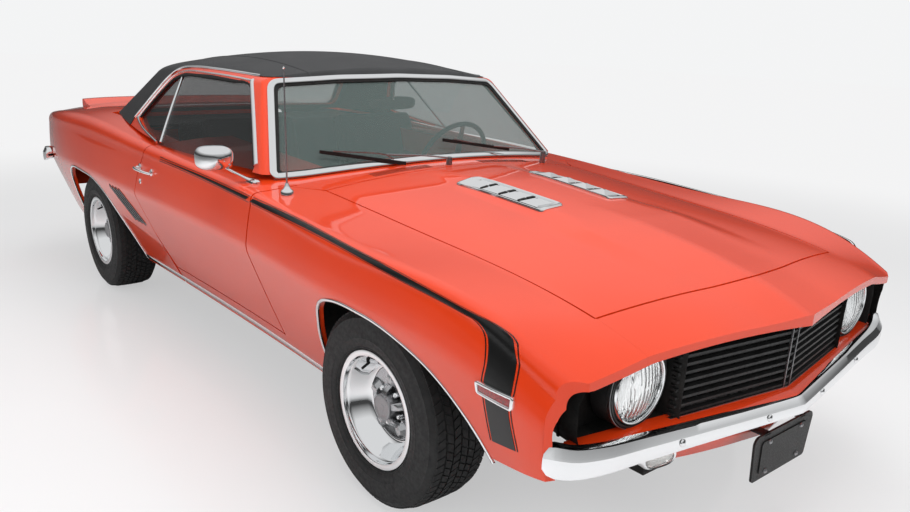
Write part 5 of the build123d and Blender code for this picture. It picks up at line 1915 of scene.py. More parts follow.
@dataclass
class SideTrim:
    """Bright lip and rocker mouldings, black band, markers, louvers, handles and locks."""

    palette: Palette
    surface: BodySurface = field(default_factory=BodySurface)
    band_outer: tuple[Flat, ...] = (
        (-0.174, 0.8905), (0.250, 0.884), (0.680, 0.871), (1.070, 0.862), (1.375, 0.844), (1.680, 0.823),
        (1.917, 0.795),
        (1.995, 0.782), (2.034, 0.767), (2.060, 0.727), (2.069, 0.648), (2.064, 0.585), (2.077, 0.487),
    )
    band_inner: tuple[Flat, ...] = (
        (-0.174, 0.8890), (0.250, 0.875), (0.689, 0.857), (1.087, 0.846), (1.410, 0.829), (1.691, 0.808),
        (1.874, 0.790),
        (1.940, 0.778), (1.968, 0.755), (1.984, 0.703), (1.982, 0.629), (1.981, 0.550), (1.984, 0.470),
    )
    marker: Flat = (2.020, 0.620)
    front_foot: float = 0.372
    front_half_x: float = 1.6
    trim_margin: float = 0.008

    def build(self) -> None:
        """Makes each piece on the left and mirrors it to the right."""
        panels = BodyPanels(self.palette)
        mouldings = []
        for outline in (panels.front_arch, panels.rear_arch):
            path = [p for p in panels.arch(outline, 0.003)
                    if p[1] > max(self.surface.row(float(p[0]))[0],
                                  self.front_foot if p[0] > self.front_half_x else 0.0)
                    + self.trim_margin]
            mouldings.append(self.on_side("lip", path, moulding(0.011, 0.0045), self.palette.chrome))
        self.pair(Maker.join("lip_moulding", mouldings), "body", "chrome")
        path = [(x, 0.272) for x in np.linspace(1.040, -0.850, 60)]
        self.pair(self.on_side("rocker_moulding", path, moulding(0.028, 0.006), self.palette.chrome),
                  "body", "chrome")
        self.band()
        self.side_marker()
        self.louvers()
        self.handle()

    def on_side(self, name: str, path: Sequence[Flat], profile: Sequence[Flat], finish: Finish,
                lift: float = 0.0005) -> bpy.types.Object:
        """Sweeps a profile along (x, z) points on the left side of the skin."""
        points = [self.surface.side_point(float(x), float(z), lift) for x, z in path]
        out = []
        for (x, z), p in zip(path, points):
            q = self.surface.side_point(float(x), float(z), lift + 0.01)
            out.append(q - p)
        return Maker.sweep(name, points, profile, finish, outward=out)

    def pair(self, thing: bpy.types.Object, body: str, slot: str) -> None:
        """Hands a left piece and its mirror image to the frame.

        Args:
            thing: The left piece.
            body: Body name, without its side where it has one.
            slot: Material slot.
        """
        base = thing.name
        thing.name = f"{base}_left"
        other = Maker.mirrored(thing, f"{base}_right")
        for piece, side in ((thing, "left"), (other, "right")):
            own(piece, body if body == "body" else f"{body}_{side}", slot)

    def strip(self, name: str, edge_a: np.ndarray, edge_b: np.ndarray, low: float,
              high: float) -> bpy.types.Object:
        """Thin closed film between two lines of (x, z) on the side."""
        rings = []
        for a, b in zip(edge_a, edge_b):
            across = [a + (b - a) * s for s in np.linspace(0.0, 1.0, 13)]
            top = [self.surface.side_point(p[0], p[1], high) for p in across]
            under = [self.surface.side_point(p[0], p[1], low) for p in across[::-1]]
            rings.append(top + under)
        return Maker.loft(name, rings, self.palette.paint_black)

    def band(self) -> None:
        """Black band with a thin line on each side, split where the door opens."""
        count = 220
        outer, inner = curve_through(self.band_outer, count), curve_through(self.band_inner, count)
        middle = (outer + inner) / 2
        half = (outer - inner) / 2
        films = []
        for shift_a, shift_b in ((-1.0, 1.0),):
            films.append((middle + half * shift_b, middle + half * shift_a))
        away = half / np.linalg.norm(half, axis=1)[:, None]
        for sign in (1, -1):
            line = middle + half * sign + away * sign * 0.0065
            films.append((line, line + away * sign * 0.0028))
        front, rear = [], []
        for a, b in films:
            for part, keep in ((front, a[:, 0] > 0.708), (rear, a[:, 0] < 0.692)):
                if keep.sum() > 2:
                    part.append(self.strip("film", a[keep], b[keep], -0.0010, 0.0014))
        self.pair(Maker.join("band_front", front), "body", "body_paint")
        self.pair(Maker.join("band_door", rear), "door", "body_paint")

    def side_marker(self) -> None:
        """Bright frame with a red lens across the band."""
        x0, z0 = self.marker
        frame_line = round_corners([(x0 - 0.058, z0 + 0.019), (x0 + 0.058, z0 + 0.014),
                                    (x0 + 0.058, z0 - 0.014),
                                    (x0 - 0.058, z0 - 0.010)], 0.006)
        loop = spread(frame_line, 0.01)
        points = [self.surface.side_point(x, z, 0.001) for x, z in loop]
        out = [self.surface.side_point(x, z, 0.011) - p for (x, z), p in zip(loop, points)]
        frame_piece = Maker.sweep("frame", points, moulding(0.010, 0.009), self.palette.chrome, outward=out,
                                  loop=True)
        rings = []
        for x in np.linspace(x0 - 0.052, x0 + 0.052, 9):
            rings.append([self.surface.side_point(x, z0 + 0.002 + 0.012 * s, lift) for s, lift in
                          ((-1, 0.0), (-1, 0.005), (0, 0.007), (1, 0.005), (1, 0.0))])
        lens = Maker.loft("lens", rings, self.palette.red_lens)
        self.pair(Maker.join("side_marker", [frame_piece, lens]), "body", "red_lens")

    def louvers(self) -> None:
        """Slanted mock air slots ahead of the rear wheel."""
        parts = []
        for k in range(4):
            x_high, x_low = -0.842 + 0.044 * k, -0.680 + 0.044 * k
            path = [(x_high + (x_low - x_high) * s, 0.668 - 0.150 * s) for s in np.linspace(0, 1, 12)]
            parts.append(self.on_side("slot", path, [(-0.012, -0.002), (-0.012, 0.0015), (0.012, 0.0015),
                                                     (0.012, -0.002)],
                                      self.palette.inner_black))
            edge = [(x + 0.014, z) for x, z in path]
            parts.append(self.on_side("edge", edge, moulding(0.0035, 0.004), self.palette.satin))
        self.pair(Maker.join("quarter_louvers", parts), "body", "satin_black")

    def handle(self) -> None:
        """Door handle with its two feet, and the lock below."""
        chrome = self.palette.chrome
        grip = curve_through(((-0.412, 0.920, 0.822), (-0.395, 0.938, 0.824), (-0.350, 0.946, 0.824),
                              (-0.290, 0.944, 0.822),
                              (-0.262, 0.934, 0.818), (-0.250, 0.922, 0.815)), 30)
        scale = [0.75 + 0.35 * math.sin(math.pi * min(1.0, k / 20)) for k in range(30)]
        parts = [Maker.tube("grip", grip, 0.0075, chrome, scale=scale)]
        for x, size in ((-0.402, 0.021), (-0.258, 0.016)):
            base = self.surface.side_point(x, 0.818, 0.0)
            parts.append(Maker.revolve("foot", [(0.0003, 0.010), (size * 0.6, 0.009), (size, 0.004),
                                                (size, -0.004),
                                                (0.0003, -0.004)], tuple(base), (0.0, 1.0, 0.12), chrome,
                                                steps=32))
        button = self.surface.side_point(-0.402, 0.818, 0.008)
        parts.append(Maker.revolve("button", [(0.0003, 0.012), (0.008, 0.011), (0.010, 0.007), (0.010, 0.0),
                                              (0.0003, 0.0)], tuple(button), (0.0, 1.0, 0.12), chrome,
                                              steps=24))
        lock = self.surface.side_point(-0.388, 0.760, 0.0)
        parts.append(Maker.revolve("lock", [(0.0003, 0.0035), (0.005, 0.004), (0.0105, 0.005), (0.012, 0.003),
                                            (0.012, -0.002), (0.0003, -0.002)], tuple(lock),
                                            (0.0, 1.0, 0.05), chrome,
                                   steps=24))
        self.pair(Maker.join("door_handle", parts), "door", "chrome")


@dataclass
class TopPieces:
    """Hood vents, cowl slots, wipers, antenna and the outer mirror."""

    palette: Palette
    surface: BodySurface = field(default_factory=BodySurface)

    def build(self) -> None:
        """Makes the pieces that stand on the skin's top."""
        repeat = Repeater()
        self.vents()
        self.cowl_slots(repeat)
        self.wipers()
        self.antenna()
        self.mirror()

    def vents(self) -> None:
        """Two bright vent plates, each with four pyramids and dark openings."""
        chrome, dark = self.palette.chrome, self.palette.inner_black
        parts = []
        for side in Side:
            front = np.array((1.487, side.value * 0.175))
            rear = np.array((1.058, side.value * 0.196))
            if side is Side.LEFT:
                front, rear = np.array((1.487, 0.175)), np.array((1.058, 0.189))
            else:
                front, rear = np.array((1.487, -0.175)), np.array((1.058, -0.189))
            run = (front - rear) / np.linalg.norm(front - rear)
            across = np.array((-run[1], run[0]))
            middle, half = (front + rear) / 2, np.linalg.norm(front - rear) / 2 + 0.004

            def on_hood(a: float, b: float, lift: float) -> np.ndarray:
                """Point of the hood at a place along and across the vent."""
                x, y = middle + run * a + across * b
                return self.surface.top_point(x, y, lift)

            outline = spread(round_corners([(-half, -0.056), (half, -0.056), (half, 0.056), (-half, 0.056)],
                                           0.018), 0.02)
            base_rings = [[on_hood(a * s, b * s, lift) for a, b in outline]
                          for s, lift in ((1.0, -0.001), (1.0, 0.003), (0.985, 0.0075), (0.955, 0.0085),
                                          (0.93, 0.0065),
                                          (0.90, 0.0035), (0.02, 0.0035))]
            parts.append(Maker.loft("tray", base_rings, chrome, sharp=30))
            for k in range(4):
                centre = -half * 0.86 + (k + 0.5) * 2 * half * 0.86 / 4
                w, h = half * 0.86 / 4 * 0.90, 0.042
                tip = [on_hood(centre + a * w * 0.12, b * h * 0.12, 0.0150) for a,
                       b in ((-1, -1), (1, -1), (1, 1), (-1, 1))]
                foot = [on_hood(centre + a * w, b * h, 0.0030) for a, b in ((-1, -1), (1, -1), (1, 1), (-1, 1))]
                parts.append(Maker.loft("pyramid", [foot, tip], chrome, sharp=10))
                for b in (-1, 1):
                    gap = [on_hood(centre + w * 1.11 + a * 0.006, b * 0.022 + c * 0.017, lift)
                           for lift in (0.0030, 0.0052) for a, c in ((-1, -1), (1, -1), (1, 1), (-1, 1))]
                    if k < 3:
                        parts.append(Maker.loft("gap", [gap[:4], gap[4:]], dark))
        own(Maker.join("hood_vent_plates", parts), "hood", "chrome", "hood_vents")

    def cowl_slots(self, repeat: Repeater) -> None:
        """Rows of small air holes in the cowl, one patch on each side."""
        parts = []
        for low, high in ((-0.420, -0.130), (0.130, 0.420)):
            rows = []
            for row in range(5):
                x = 0.748 + 0.0105 * row
                z = float(self.surface.top_point(x, 0.28)[2])
                hole = Maker.box("hole", (-0.0032, -0.0022, -0.0015), (0.0032, 0.0022, 0.0004),
                                 self.palette.inner_black,
                                 bevel=0.0)
                count = int((high - low) / 0.0075)
                rows.append(repeat.copies("row", hole, count, self.palette.inner_black, (x, low, z),
                                          (0.0, 0.0075, 0.0)))
            patch = Maker.join("patch", rows)
            for vertex in patch.data.vertices:
                flat = float(self.surface.top_point(vertex.co.x, abs(vertex.co.y))[2])
                middle = float(self.surface.top_point(vertex.co.x, 0.28)[2])
                vertex.co.z += flat - middle
            parts.append(patch)
        own(Maker.join("cowl_air_holes", parts), "body", "satin_black")

    def wipers(self) -> None:
        """Bright arms, blades with rubber, and their pivots."""
        chrome, black = self.palette.satin, self.palette.seal
        parts = []
        for pivot, knee, start, end in (
            ((0.785, -0.050, 0.966), (0.690, -0.300, 0.972), (0.722, -0.225, 0.955), (0.590, -0.545, 1.003)),
            ((0.800, 0.484, 0.962), (0.680, 0.290, 0.974), (0.690, 0.375, 0.975), (0.652, 0.020, 1.029)),
        ):
            p, k, a, b = (np.array(v) for v in (pivot, knee, start, end))
            parts.append(Maker.revolve("pivot", [(0.0003, 0.012), (0.009, 0.010), (0.012, 0.0), (0.013, -0.050),
                                                 (0.0003, -0.050)], tuple(p), (0.1, 0.0, 1.0), chrome,
                                                 steps=24))
            arm = curve_through((p + (0, 0, 0.006), p * 0.6 + k * 0.4 + np.array((0, 0, 0.014)),
                                 k + (0, 0, 0.016)), 16)
            parts.append(Maker.sweep("arm", arm, [(-0.005, -0.003), (-0.005, 0.001), (-0.002, 0.003),
                                                  (0.002, 0.003),
                                                  (0.005, 0.001), (0.005, -0.003)], chrome))
            bridge = curve_through((a * 0.85 + b * 0.15 + (0, 0, 0.006), k + (0, 0, 0.014),
                                    a * 0.15 + b * 0.85 + (0, 0, 0.006)), 16)
            parts.append(Maker.sweep("bridge", bridge, [(-0.004, -0.002), (-0.004, 0.002), (0.004, 0.002),
                                                        (0.004, -0.002)],
                                     chrome))
            blade = [a + (b - a) * s for s in np.linspace(0, 1, 12)]
            parts.append(Maker.sweep("blade", blade, [(-0.003, -0.010), (-0.0035, 0.002), (-0.002, 0.004),
                                                      (0.002, 0.004),
                                                      (0.0035, 0.002), (0.003, -0.010)], black))
        own(Maker.join("wiper_pair", parts), "body", "satin_metal", "wipers")

    def antenna(self) -> None:
        """Fixed mast on a bright base."""
        chrome = self.palette.satin
        base = Maker.revolve("base", [(0.0003, 0.032), (0.006, 0.031), (0.009, 0.022), (0.013, 0.012),
                                      (0.021, 0.006),
                                      (0.024, 0.0), (0.024, -0.010), (0.0003, -0.010)], (0.780, -0.790, 0.897),
                             (0.0, 0.0, 1.0), self.palette.chrome, steps=32)
        mast = Maker.tube("mast", [(0.780, -0.790, 0.90), (0.779, -0.790, 1.10), (0.778, -0.790, 1.318)],
                          0.0032, chrome,
                          steps=10, scale=[1.0, 0.9, 0.8])
        tip = Maker.revolve("tip", [(0.0002, 0.005), (0.0034, 0.003), (0.0045, 0.0), (0.0034, -0.003),
                                    (0.0002, -0.004)],
                            (0.778, -0.790, 1.320), (0.0, 0.0, 1.0), self.palette.chrome, steps=16)
        own(Maker.join("radio_mast", [base, mast, tip]), "body", "chrome", "antenna")

    def mirror(self) -> None:
        """Rounded bright mirror head on a slim foot, on the right door."""
        chrome = self.palette.chrome
        rings = []
        for x, size in ((0.470, 0.90), (0.476, 0.99), (0.486, 1.0), (0.505, 0.97), (0.522, 0.86), (0.534, 0.66),
                        (0.541, 0.40), (0.543, 0.05)):
            rings.append([(x + 0.10 * a, -0.930 + a, 0.987 + b) for a, b in
                          [(p * size, q * size) for p, q in superellipse(0.068, 0.046, 3.2, 48)]])
        head = Maker.loft("head", rings, chrome)
        glass = Maker.loft("glass", [[(0.4695 + 0.10 * a * 0.86, -0.930 + a * 0.86, 0.987 + b * 0.86) for a,
                                      b in
                                      superellipse(0.068, 0.046, 3.2, 48)],
                                     [(0.4685 + 0.10 * a * 0.84, -0.930 + a * 0.84, 0.987 + b * 0.84) for a,
                                      b in
                                      superellipse(0.068, 0.046, 3.2, 48)]], self.palette.reflector)
        foot_line = curve_through(((0.575, -0.800, 0.903), (0.552, -0.825, 0.908), (0.535, -0.862, 0.928),
                                   (0.520, -0.905, 0.955)), 18)
        foot = Maker.sweep("foot", foot_line, [(0.013 * c, 0.006 * s) for c, s in
                                               [(math.cos(t), math.sin(t)) for t in np.linspace(0,
                                                   2 * math.pi, 14)[:-1]]],
                           chrome, scale=[1.2 - 0.45 * k / 17 for k in range(18)])
        pad = Maker.loft("pad", [[(0.556 + a * s, -0.812 + b * s, 0.9005 + h) for a,
                                  b in superellipse(0.044, 0.020, 2.2, 32)]
                                 for s, h in ((1.0, -0.010), (1.0, 0.004), (0.85, 0.009), (0.4, 0.011))],
                                 chrome)
        own(Maker.join("outer_mirror", [head, glass, foot, pad]), "door_right", "chrome", "door_mirror")


@dataclass
class Cushion:
    """Padded block with soft ends, a crowned face and sewn pleats."""

    length: float
    width: float
    depth: float
    pleats: int = 6
    pleat_share: float = 0.70
    groove: float = 0.0065
    rows: int = 44
    ring: int = 168

    def make(self, name: str, place: Matrix, finish: Finish) -> bpy.types.Object:
        """Builds the cushion.

        Args:
            name: Name of the piece.
            place: Frame whose X runs along, Y across and Z out of the cushion's face.
            finish: Its cover.

        Returns:
            The cushion.
        """
        outline = superellipse(self.width / 2, self.depth / 2, 4.5, self.ring)
        half = self.width / 2 * self.pleat_share
        pitch = 2 * half / self.pleats
        rings = []
        for k in range(self.rows + 1):
            u = -1 + 2 * k / self.rows
            u = math.sin(u * math.pi / 2) * 0.5 + u * 0.5
            size = max(0.02, (1 - abs(u)**7)**0.35)
            inside = min(1.0, max(0.0, (0.86 - abs(u)) / 0.08))
            ring = []
            for a, b in outline:
                swell = 0.012 * (1 - (a / (self.width / 2))**2) * (1 - u * u) if b > 0 else 0.0
                dent = 0.0
                if b > 0 and abs(a) < half + 0.006:
                    off = abs((a + half) / pitch - round((a + half) / pitch)) * pitch
                    dent = self.groove * math.exp(-(off / 0.0055)**2) * inside
                    swell += 0.004 * inside * math.cos((a + half) / pitch * 2 * math.pi + math.pi)
                ring.append(place @ Vector((u * self.length / 2, a * (0.90 + 0.10 * size),
                                            b * size + swell * size - dent)))
            rings.append(ring)
        return Maker.smooth(Maker.loft(name, rings, finish, sharp=60), 60)


@dataclass
class Cabin:
    """Seats, dashboard, controls, door trims and inner mirror."""

    palette: Palette
    seat_y: float = 0.370
    wheel_centre: Point = (0.300, 0.370, 0.870)
    wheel_tilt: float = 22.0
    wheel_radius: float = 0.195
    door: float = 0.114
    surface: BodySurface = field(default_factory=BodySurface)

    def build(self) -> None:
        """Makes everything inside the cabin."""
        self.seats()
        self.dashboard()
        self.steering_wheel()
        self.inner_mirror()
        self.door_trims()
        self.shelf()

    @staticmethod
    def lay_flat(x: float, y: float, z: float, tilt: float) -> Matrix:
        """Frame at a point, turned about Y by an angle in degrees."""
        return Matrix.Translation((x, y, z)) @ Matrix.Rotation(math.radians(tilt), 4, "Y")

    def seats(self) -> None:
        """Two front buckets and the rear bench, with pleated covers."""
        finish = self.palette.seat
        nodes_left = ["seats"]
        for y, name in ((self.seat_y, "left"), (-self.seat_y, "right")):
            parts = [Cushion(0.500, 0.480, 0.150).make("base", self.lay_flat(-0.075, y, 0.480, -6.0), finish),
                     Cushion(0.540, 0.470, 0.125).make("back", self.lay_flat(-0.325, y, 0.770, -106.0), finish)]
            piece = Maker.join(f"front_seat_{name}", parts)
            own(piece, "body", "black_seat", *nodes_left)
            foot = Maker.box(f"seat_frame_{name}", (-0.300, y - 0.200, 0.246), (0.150, y + 0.200, 0.412),
                             self.palette.inner_black, bevel=0.012)
            own(foot, "body", "satin_black")
        parts = []
        for y in (-0.245, 0.245):
            parts.append(Cushion(0.420, 0.480, 0.150, pleats=7).make("base",
                                                                     self.lay_flat(-0.700, y, 0.490, -5.0),
                                                                     finish))
            parts.append(Cushion(0.440, 0.480, 0.110, pleats=7).make("back",
                                                                     self.lay_flat(-0.945, y, 0.740, -113.0), finish))
        piece = Maker.join("rear_seat_bench", parts)
        own(piece, "body", "black_seat", *nodes_left)

    def dashboard(self) -> None:
        """Padded top, instrument hoods, air outlets, glove box and the steering column."""
        black, chrome = self.palette.plastic, self.palette.chrome
        section = [(0.690, 0.700), (0.690, 0.846), (0.640, 0.862), (0.575, 0.874), (0.515, 0.880),
                   (0.476, 0.876),
                   (0.456, 0.864), (0.450, 0.846), (0.460, 0.826), (0.490, 0.815), (0.500, 0.790),
                   (0.495, 0.740),
                   (0.515, 0.690), (0.580, 0.680)]
        rings = []
        for y in np.linspace(-0.672, 0.672, 57):
            hood = max(0.0, 1 - ((y - self.seat_y) / 0.215)**2)
            hood = hood**0.6 if hood > 0 else 0.0
            edge = 0.012 * max(0.0, (abs(y) - 0.60) / 0.08)
            rings.append([(x - (0.030 * hood if 0.44 < x < 0.53 and z > 0.84 else 0.0), y,
                           z + (0.020 * hood if z > 0.855 else 0.0) - (edge if z > 0.8 else 0.0)) for x,
                           z in section])
        parts = [Maker.loft("pad", rings, black, sharp=50)]
        for y in (self.seat_y - 0.085, self.seat_y + 0.085):
            parts.append(Maker.revolve("gauge", [(0.068, 0.0), (0.070, 0.012), (0.064, 0.014),
                                                 (0.060, 0.004), (0.0005, 0.002),
                                                 (0.0005, -0.004), (0.066, -0.004)], (0.496, y, 0.800),
                                                 (-1.0, 0.0, 0.25),
                                       chrome, steps=48))
            parts.append(Maker.revolve("dial", [(0.060, 0.0048), (0.0005, 0.0030), (0.0005, 0.001),
                                                (0.060, 0.001)],
                                       (0.496, y, 0.800), (-1.0, 0.0, 0.25), black, steps=48))
        parts.append(Maker.box("glove", (0.4905, -0.560, 0.730), (0.4975, -0.250, 0.800), black, bevel=0.003))
        parts.append(Maker.box("glove_knob", (0.484, -0.415, 0.788), (0.492, -0.395, 0.796), chrome,
                               bevel=0.003))
        for y in (-0.115, 0.095):
            parts.append(Maker.box("outlet", (0.488, y - 0.062, 0.776), (0.497, y + 0.062, 0.806), chrome,
                                   bevel=0.004))
            for k in range(4):
                parts.append(Maker.box("fin", (0.486, y - 0.056, 0.7805 + 0.006 * k),
                                       (0.490, y + 0.056, 0.7825 + 0.006 * k),
                                       black, bevel=0.0))
        tilt = math.radians(self.wheel_tilt)
        way = Vector((math.cos(tilt), 0.0, -math.sin(tilt)))
        start = Vector(self.wheel_centre) + way * 0.037
        parts.append(Maker.revolve("column", [(0.0005, 0.0), (0.030, 0.0), (0.033, 0.006), (0.034, 0.120),
                                              (0.030, 0.150),
                                              (0.028, 0.290), (0.0005, 0.290)], tuple(start), tuple(way),
                                              black, steps=40))
        own(Maker.join("dash_and_column", parts), "body", "black_plastic", "dashboard")

    def steering_wheel(self) -> None:
        """Thin rim, three slotted spokes and a padded hub."""
        tilt = math.radians(self.wheel_tilt)
        way = Vector((math.cos(tilt), 0.0, -math.sin(tilt)))
        across = Vector((0.0, 1.0, 0.0))
        up = across.cross(way)
        centre = Vector(self.wheel_centre)
        rings = []
        for k in range(96):
            t = 2 * math.pi * k / 96
            out = across * math.cos(t) + up * math.sin(t)
            rings.append([centre + out * (self.wheel_radius + 0.0115 * math.cos(s)) + way * (0.0115 + 0.0010 *
                          math.cos(48 * t)) * math.sin(s) for s in np.linspace(0, 2 * math.pi, 15)[:-1]])
        parts = [Maker.loft("rim", rings, self.palette.plastic, loop=True)]
        for angle in (0.0, math.pi, -math.pi / 2):
            out = across * math.cos(angle) + up * math.sin(angle)
            side = way.cross(out)
            spoke = []
            for share, half, deep in ((0.03, 0.022, 0.026), (0.08, 0.017, 0.018), (0.15, 0.013, 0.007),
                                      (0.188, 0.012, 0.001)):
                c = centre + out * share + way * deep
                spoke.append([c + side * half - way * 0.002, c + side * half + way * 0.002,
                              c - side * half + way * 0.002,
                              c - side * half - way * 0.002])
            parts.append(Maker.loft("spoke", spoke, self.palette.satin, sharp=30))
        parts.append(Maker.revolve("hub", [(0.0005, -0.010), (0.030, -0.008), (0.046, 0.002),
                                           (0.050, 0.014), (0.036, 0.030),
                                           (0.0005, 0.034)], tuple(centre), tuple(way),
                                           self.palette.plastic, steps=48))
        own(Maker.join("steering_wheel_rim", parts), "steering_wheel", "black_plastic", "steering_wheel")

    def inner_mirror(self) -> None:
        """Rounded mirror on its stalk at the windshield's top."""
        rings = []
        for x, size in ((0.3000, 0.86), (0.3015, 0.96), (0.3060, 1.0), (0.3110, 0.94), (0.3150, 0.80),
                        (0.3160, 0.4)):
            rings.append([(x, a * size, 1.150 + b * size) for a, b in superellipse(0.128, 0.029, 3.6, 56)])
        head = Maker.loft("head", rings, self.palette.plastic)
        glass = Maker.loft("glass", [[(x, a * 0.82, 1.150 + b * 0.78) for a,
                                      b in superellipse(0.128, 0.029, 3.6, 56)]
                                     for x in (0.2990, 0.3004)], self.palette.reflector)
        stalk = Maker.tube("stalk", [(0.312, 0.0, 1.165), (0.314, 0.0, 1.215), (0.310, 0.0, 1.262)], 0.0055,
                           self.palette.satin)
        own(Maker.join("inside_mirror", [head, glass, stalk]), "body", "chrome", "inner_mirror")

    def door_trims(self) -> None:
        """Inner door boards with pleats, armrests and winders."""
        for side in Side:
            s, name = side.value, side.name.lower()
            rings = []
            for x in np.linspace(-0.280, 0.560, 120):
                groove = 0.0022 * math.exp(-(((x + 0.3) % 0.060 - 0.030) / 0.0035)**2)
                heights = (0.385, 0.440, 0.498, 0.502, 0.600, 0.690, 0.718, 0.722, 0.780, 0.840)
                depths = [float(self.surface.side_point(x, z)[1]) - self.door for z in heights]
                rings.append([(x, s * (d - 0.003 + (groove if 0.50 < z < 0.72 else 0.0)), z)
                              for d, z in zip(depths, heights)]
                             + [(x, s * (d + 0.004), z) for d, z in zip(depths[::-1], heights[::-1])])
            board = Maker.loft("board", rings, self.palette.seat, sharp=40)
            rest_line = curve_through(((-0.180, s * 0.780, 0.600), (-0.060, s * 0.762, 0.612),
                                       (0.140, s * 0.760, 0.618),
                                       (0.260, s * 0.782, 0.628)), 20)
            rest = Maker.sweep("rest", rest_line, [(-0.030, -0.024), (-0.034, 0.0), (-0.024, 0.018),
                                                   (0.0, 0.022),
                                                   (0.024, 0.018), (0.030, 0.0), (0.026, -0.024)],
                                                   self.palette.seat)
            crank = Maker.tube("crank", [(0.300, s * 0.790, 0.590), (0.300, s * 0.778, 0.590),
                                         (0.345, s * 0.774, 0.545),
                                         (0.350, s * 0.756, 0.540)], 0.006, self.palette.chrome)
            own(Maker.join(f"door_board_{name}", [board, rest, crank]), f"door_{name}", "black_seat")

    def shelf(self) -> None:
        """Panel behind the rear seat and boards beside it."""
        rings = []
        for y in np.linspace(-0.690, 0.690, 31):
            rings.append([(-1.060, y, 0.926), (-1.050, y, 0.934), (-1.300, y, 0.956), (-1.312, y, 0.950),
                          (-1.300, y, 0.944),
                          (-1.060, y, 0.920)])
        parts = [Maker.loft("shelf", rings, self.palette.seat, sharp=50)]
        for side in Side:
            s = side.value
            rings = [[(x, s * 0.690, 0.420 + (0.30 if x < -0.86 else 0.0)), (x, s * 0.700, 0.905),
                      (x, s * 0.706, 0.905),
                      (x, s * 0.696, 0.420 + (0.30 if x < -0.86 else 0.0))] for x in (-0.480, -0.700,
                          -0.850, -0.870, -1.040)]
            parts.append(Maker.loft("side_board", rings, self.palette.seat))
        own(Maker.join("rear_inner_boards", parts), "body", "black_vinyl")


@dataclass
class Tail:
    """Rear panel and lamps in bright frames."""

    palette: Palette
    lamp_y: float = 0.560
    lamp_half: Flat = (0.165, 0.048)
    lamp_z: float = 0.795

    def build(self) -> None:
        """Makes the pieces of the tail."""
        outline = round_corners([(-0.775, 0.890), (-0.740, 0.908), (0.740, 0.908), (0.775, 0.890),
                                 (0.806, 0.640),
                                 (0.736, 0.424), (-0.736, 0.424), (-0.806, 0.640)], 0.030)
        rings = [[(x, a * s, 0.66 + (b - 0.66) * s) for a, b in outline]
                 for x, s in ((-2.2895, 1.0), (-2.296, 1.0), (-2.3005, 0.993), (-2.3010, 0.960),
                              (-2.3010, 0.05))]
        panel = Maker.loft("rear_panel", rings, self.palette.paint, sharp=30)
        own(panel, "body", "body_paint", "tail_panel")
        for side in Side:
            y0 = side.value * self.lamp_y

            def ring(scale: float, x: float) -> list[Point]:
                """Outline of the lamp at a scale and a depth."""
                return [(x, y0 + a * scale, self.lamp_z + b * scale) for a,
                        b in superellipse(*self.lamp_half, 5.0, 64)]

            parts = [Maker.loft("frame", [ring(1.0, -2.299), ring(1.03, -2.304), ring(1.0, -2.309),
                                          ring(0.94, -2.309),
                                          ring(0.92, -2.301)], self.palette.chrome, caps=False),
                     Maker.loft("lens", [ring(0.93, -2.300), ring(0.93, -2.305), ring(0.86, -2.3095),
                                         ring(0.05, -2.3105)],
                                self.palette.red_lens)]
            for k in (-1, 1):
                parts.append(Maker.box("bar", (-2.3115, y0 + k * 0.052 - 0.003, self.lamp_z - 0.040),
                                       (-2.3050, y0 + k * 0.052 + 0.003, self.lamp_z + 0.040),
                                       self.palette.chrome,
                                       bevel=0.001))
            own(Maker.join(f"tail_lamp_{side.name.lower()}", parts), "body", "red_lens", "tail_lamps")


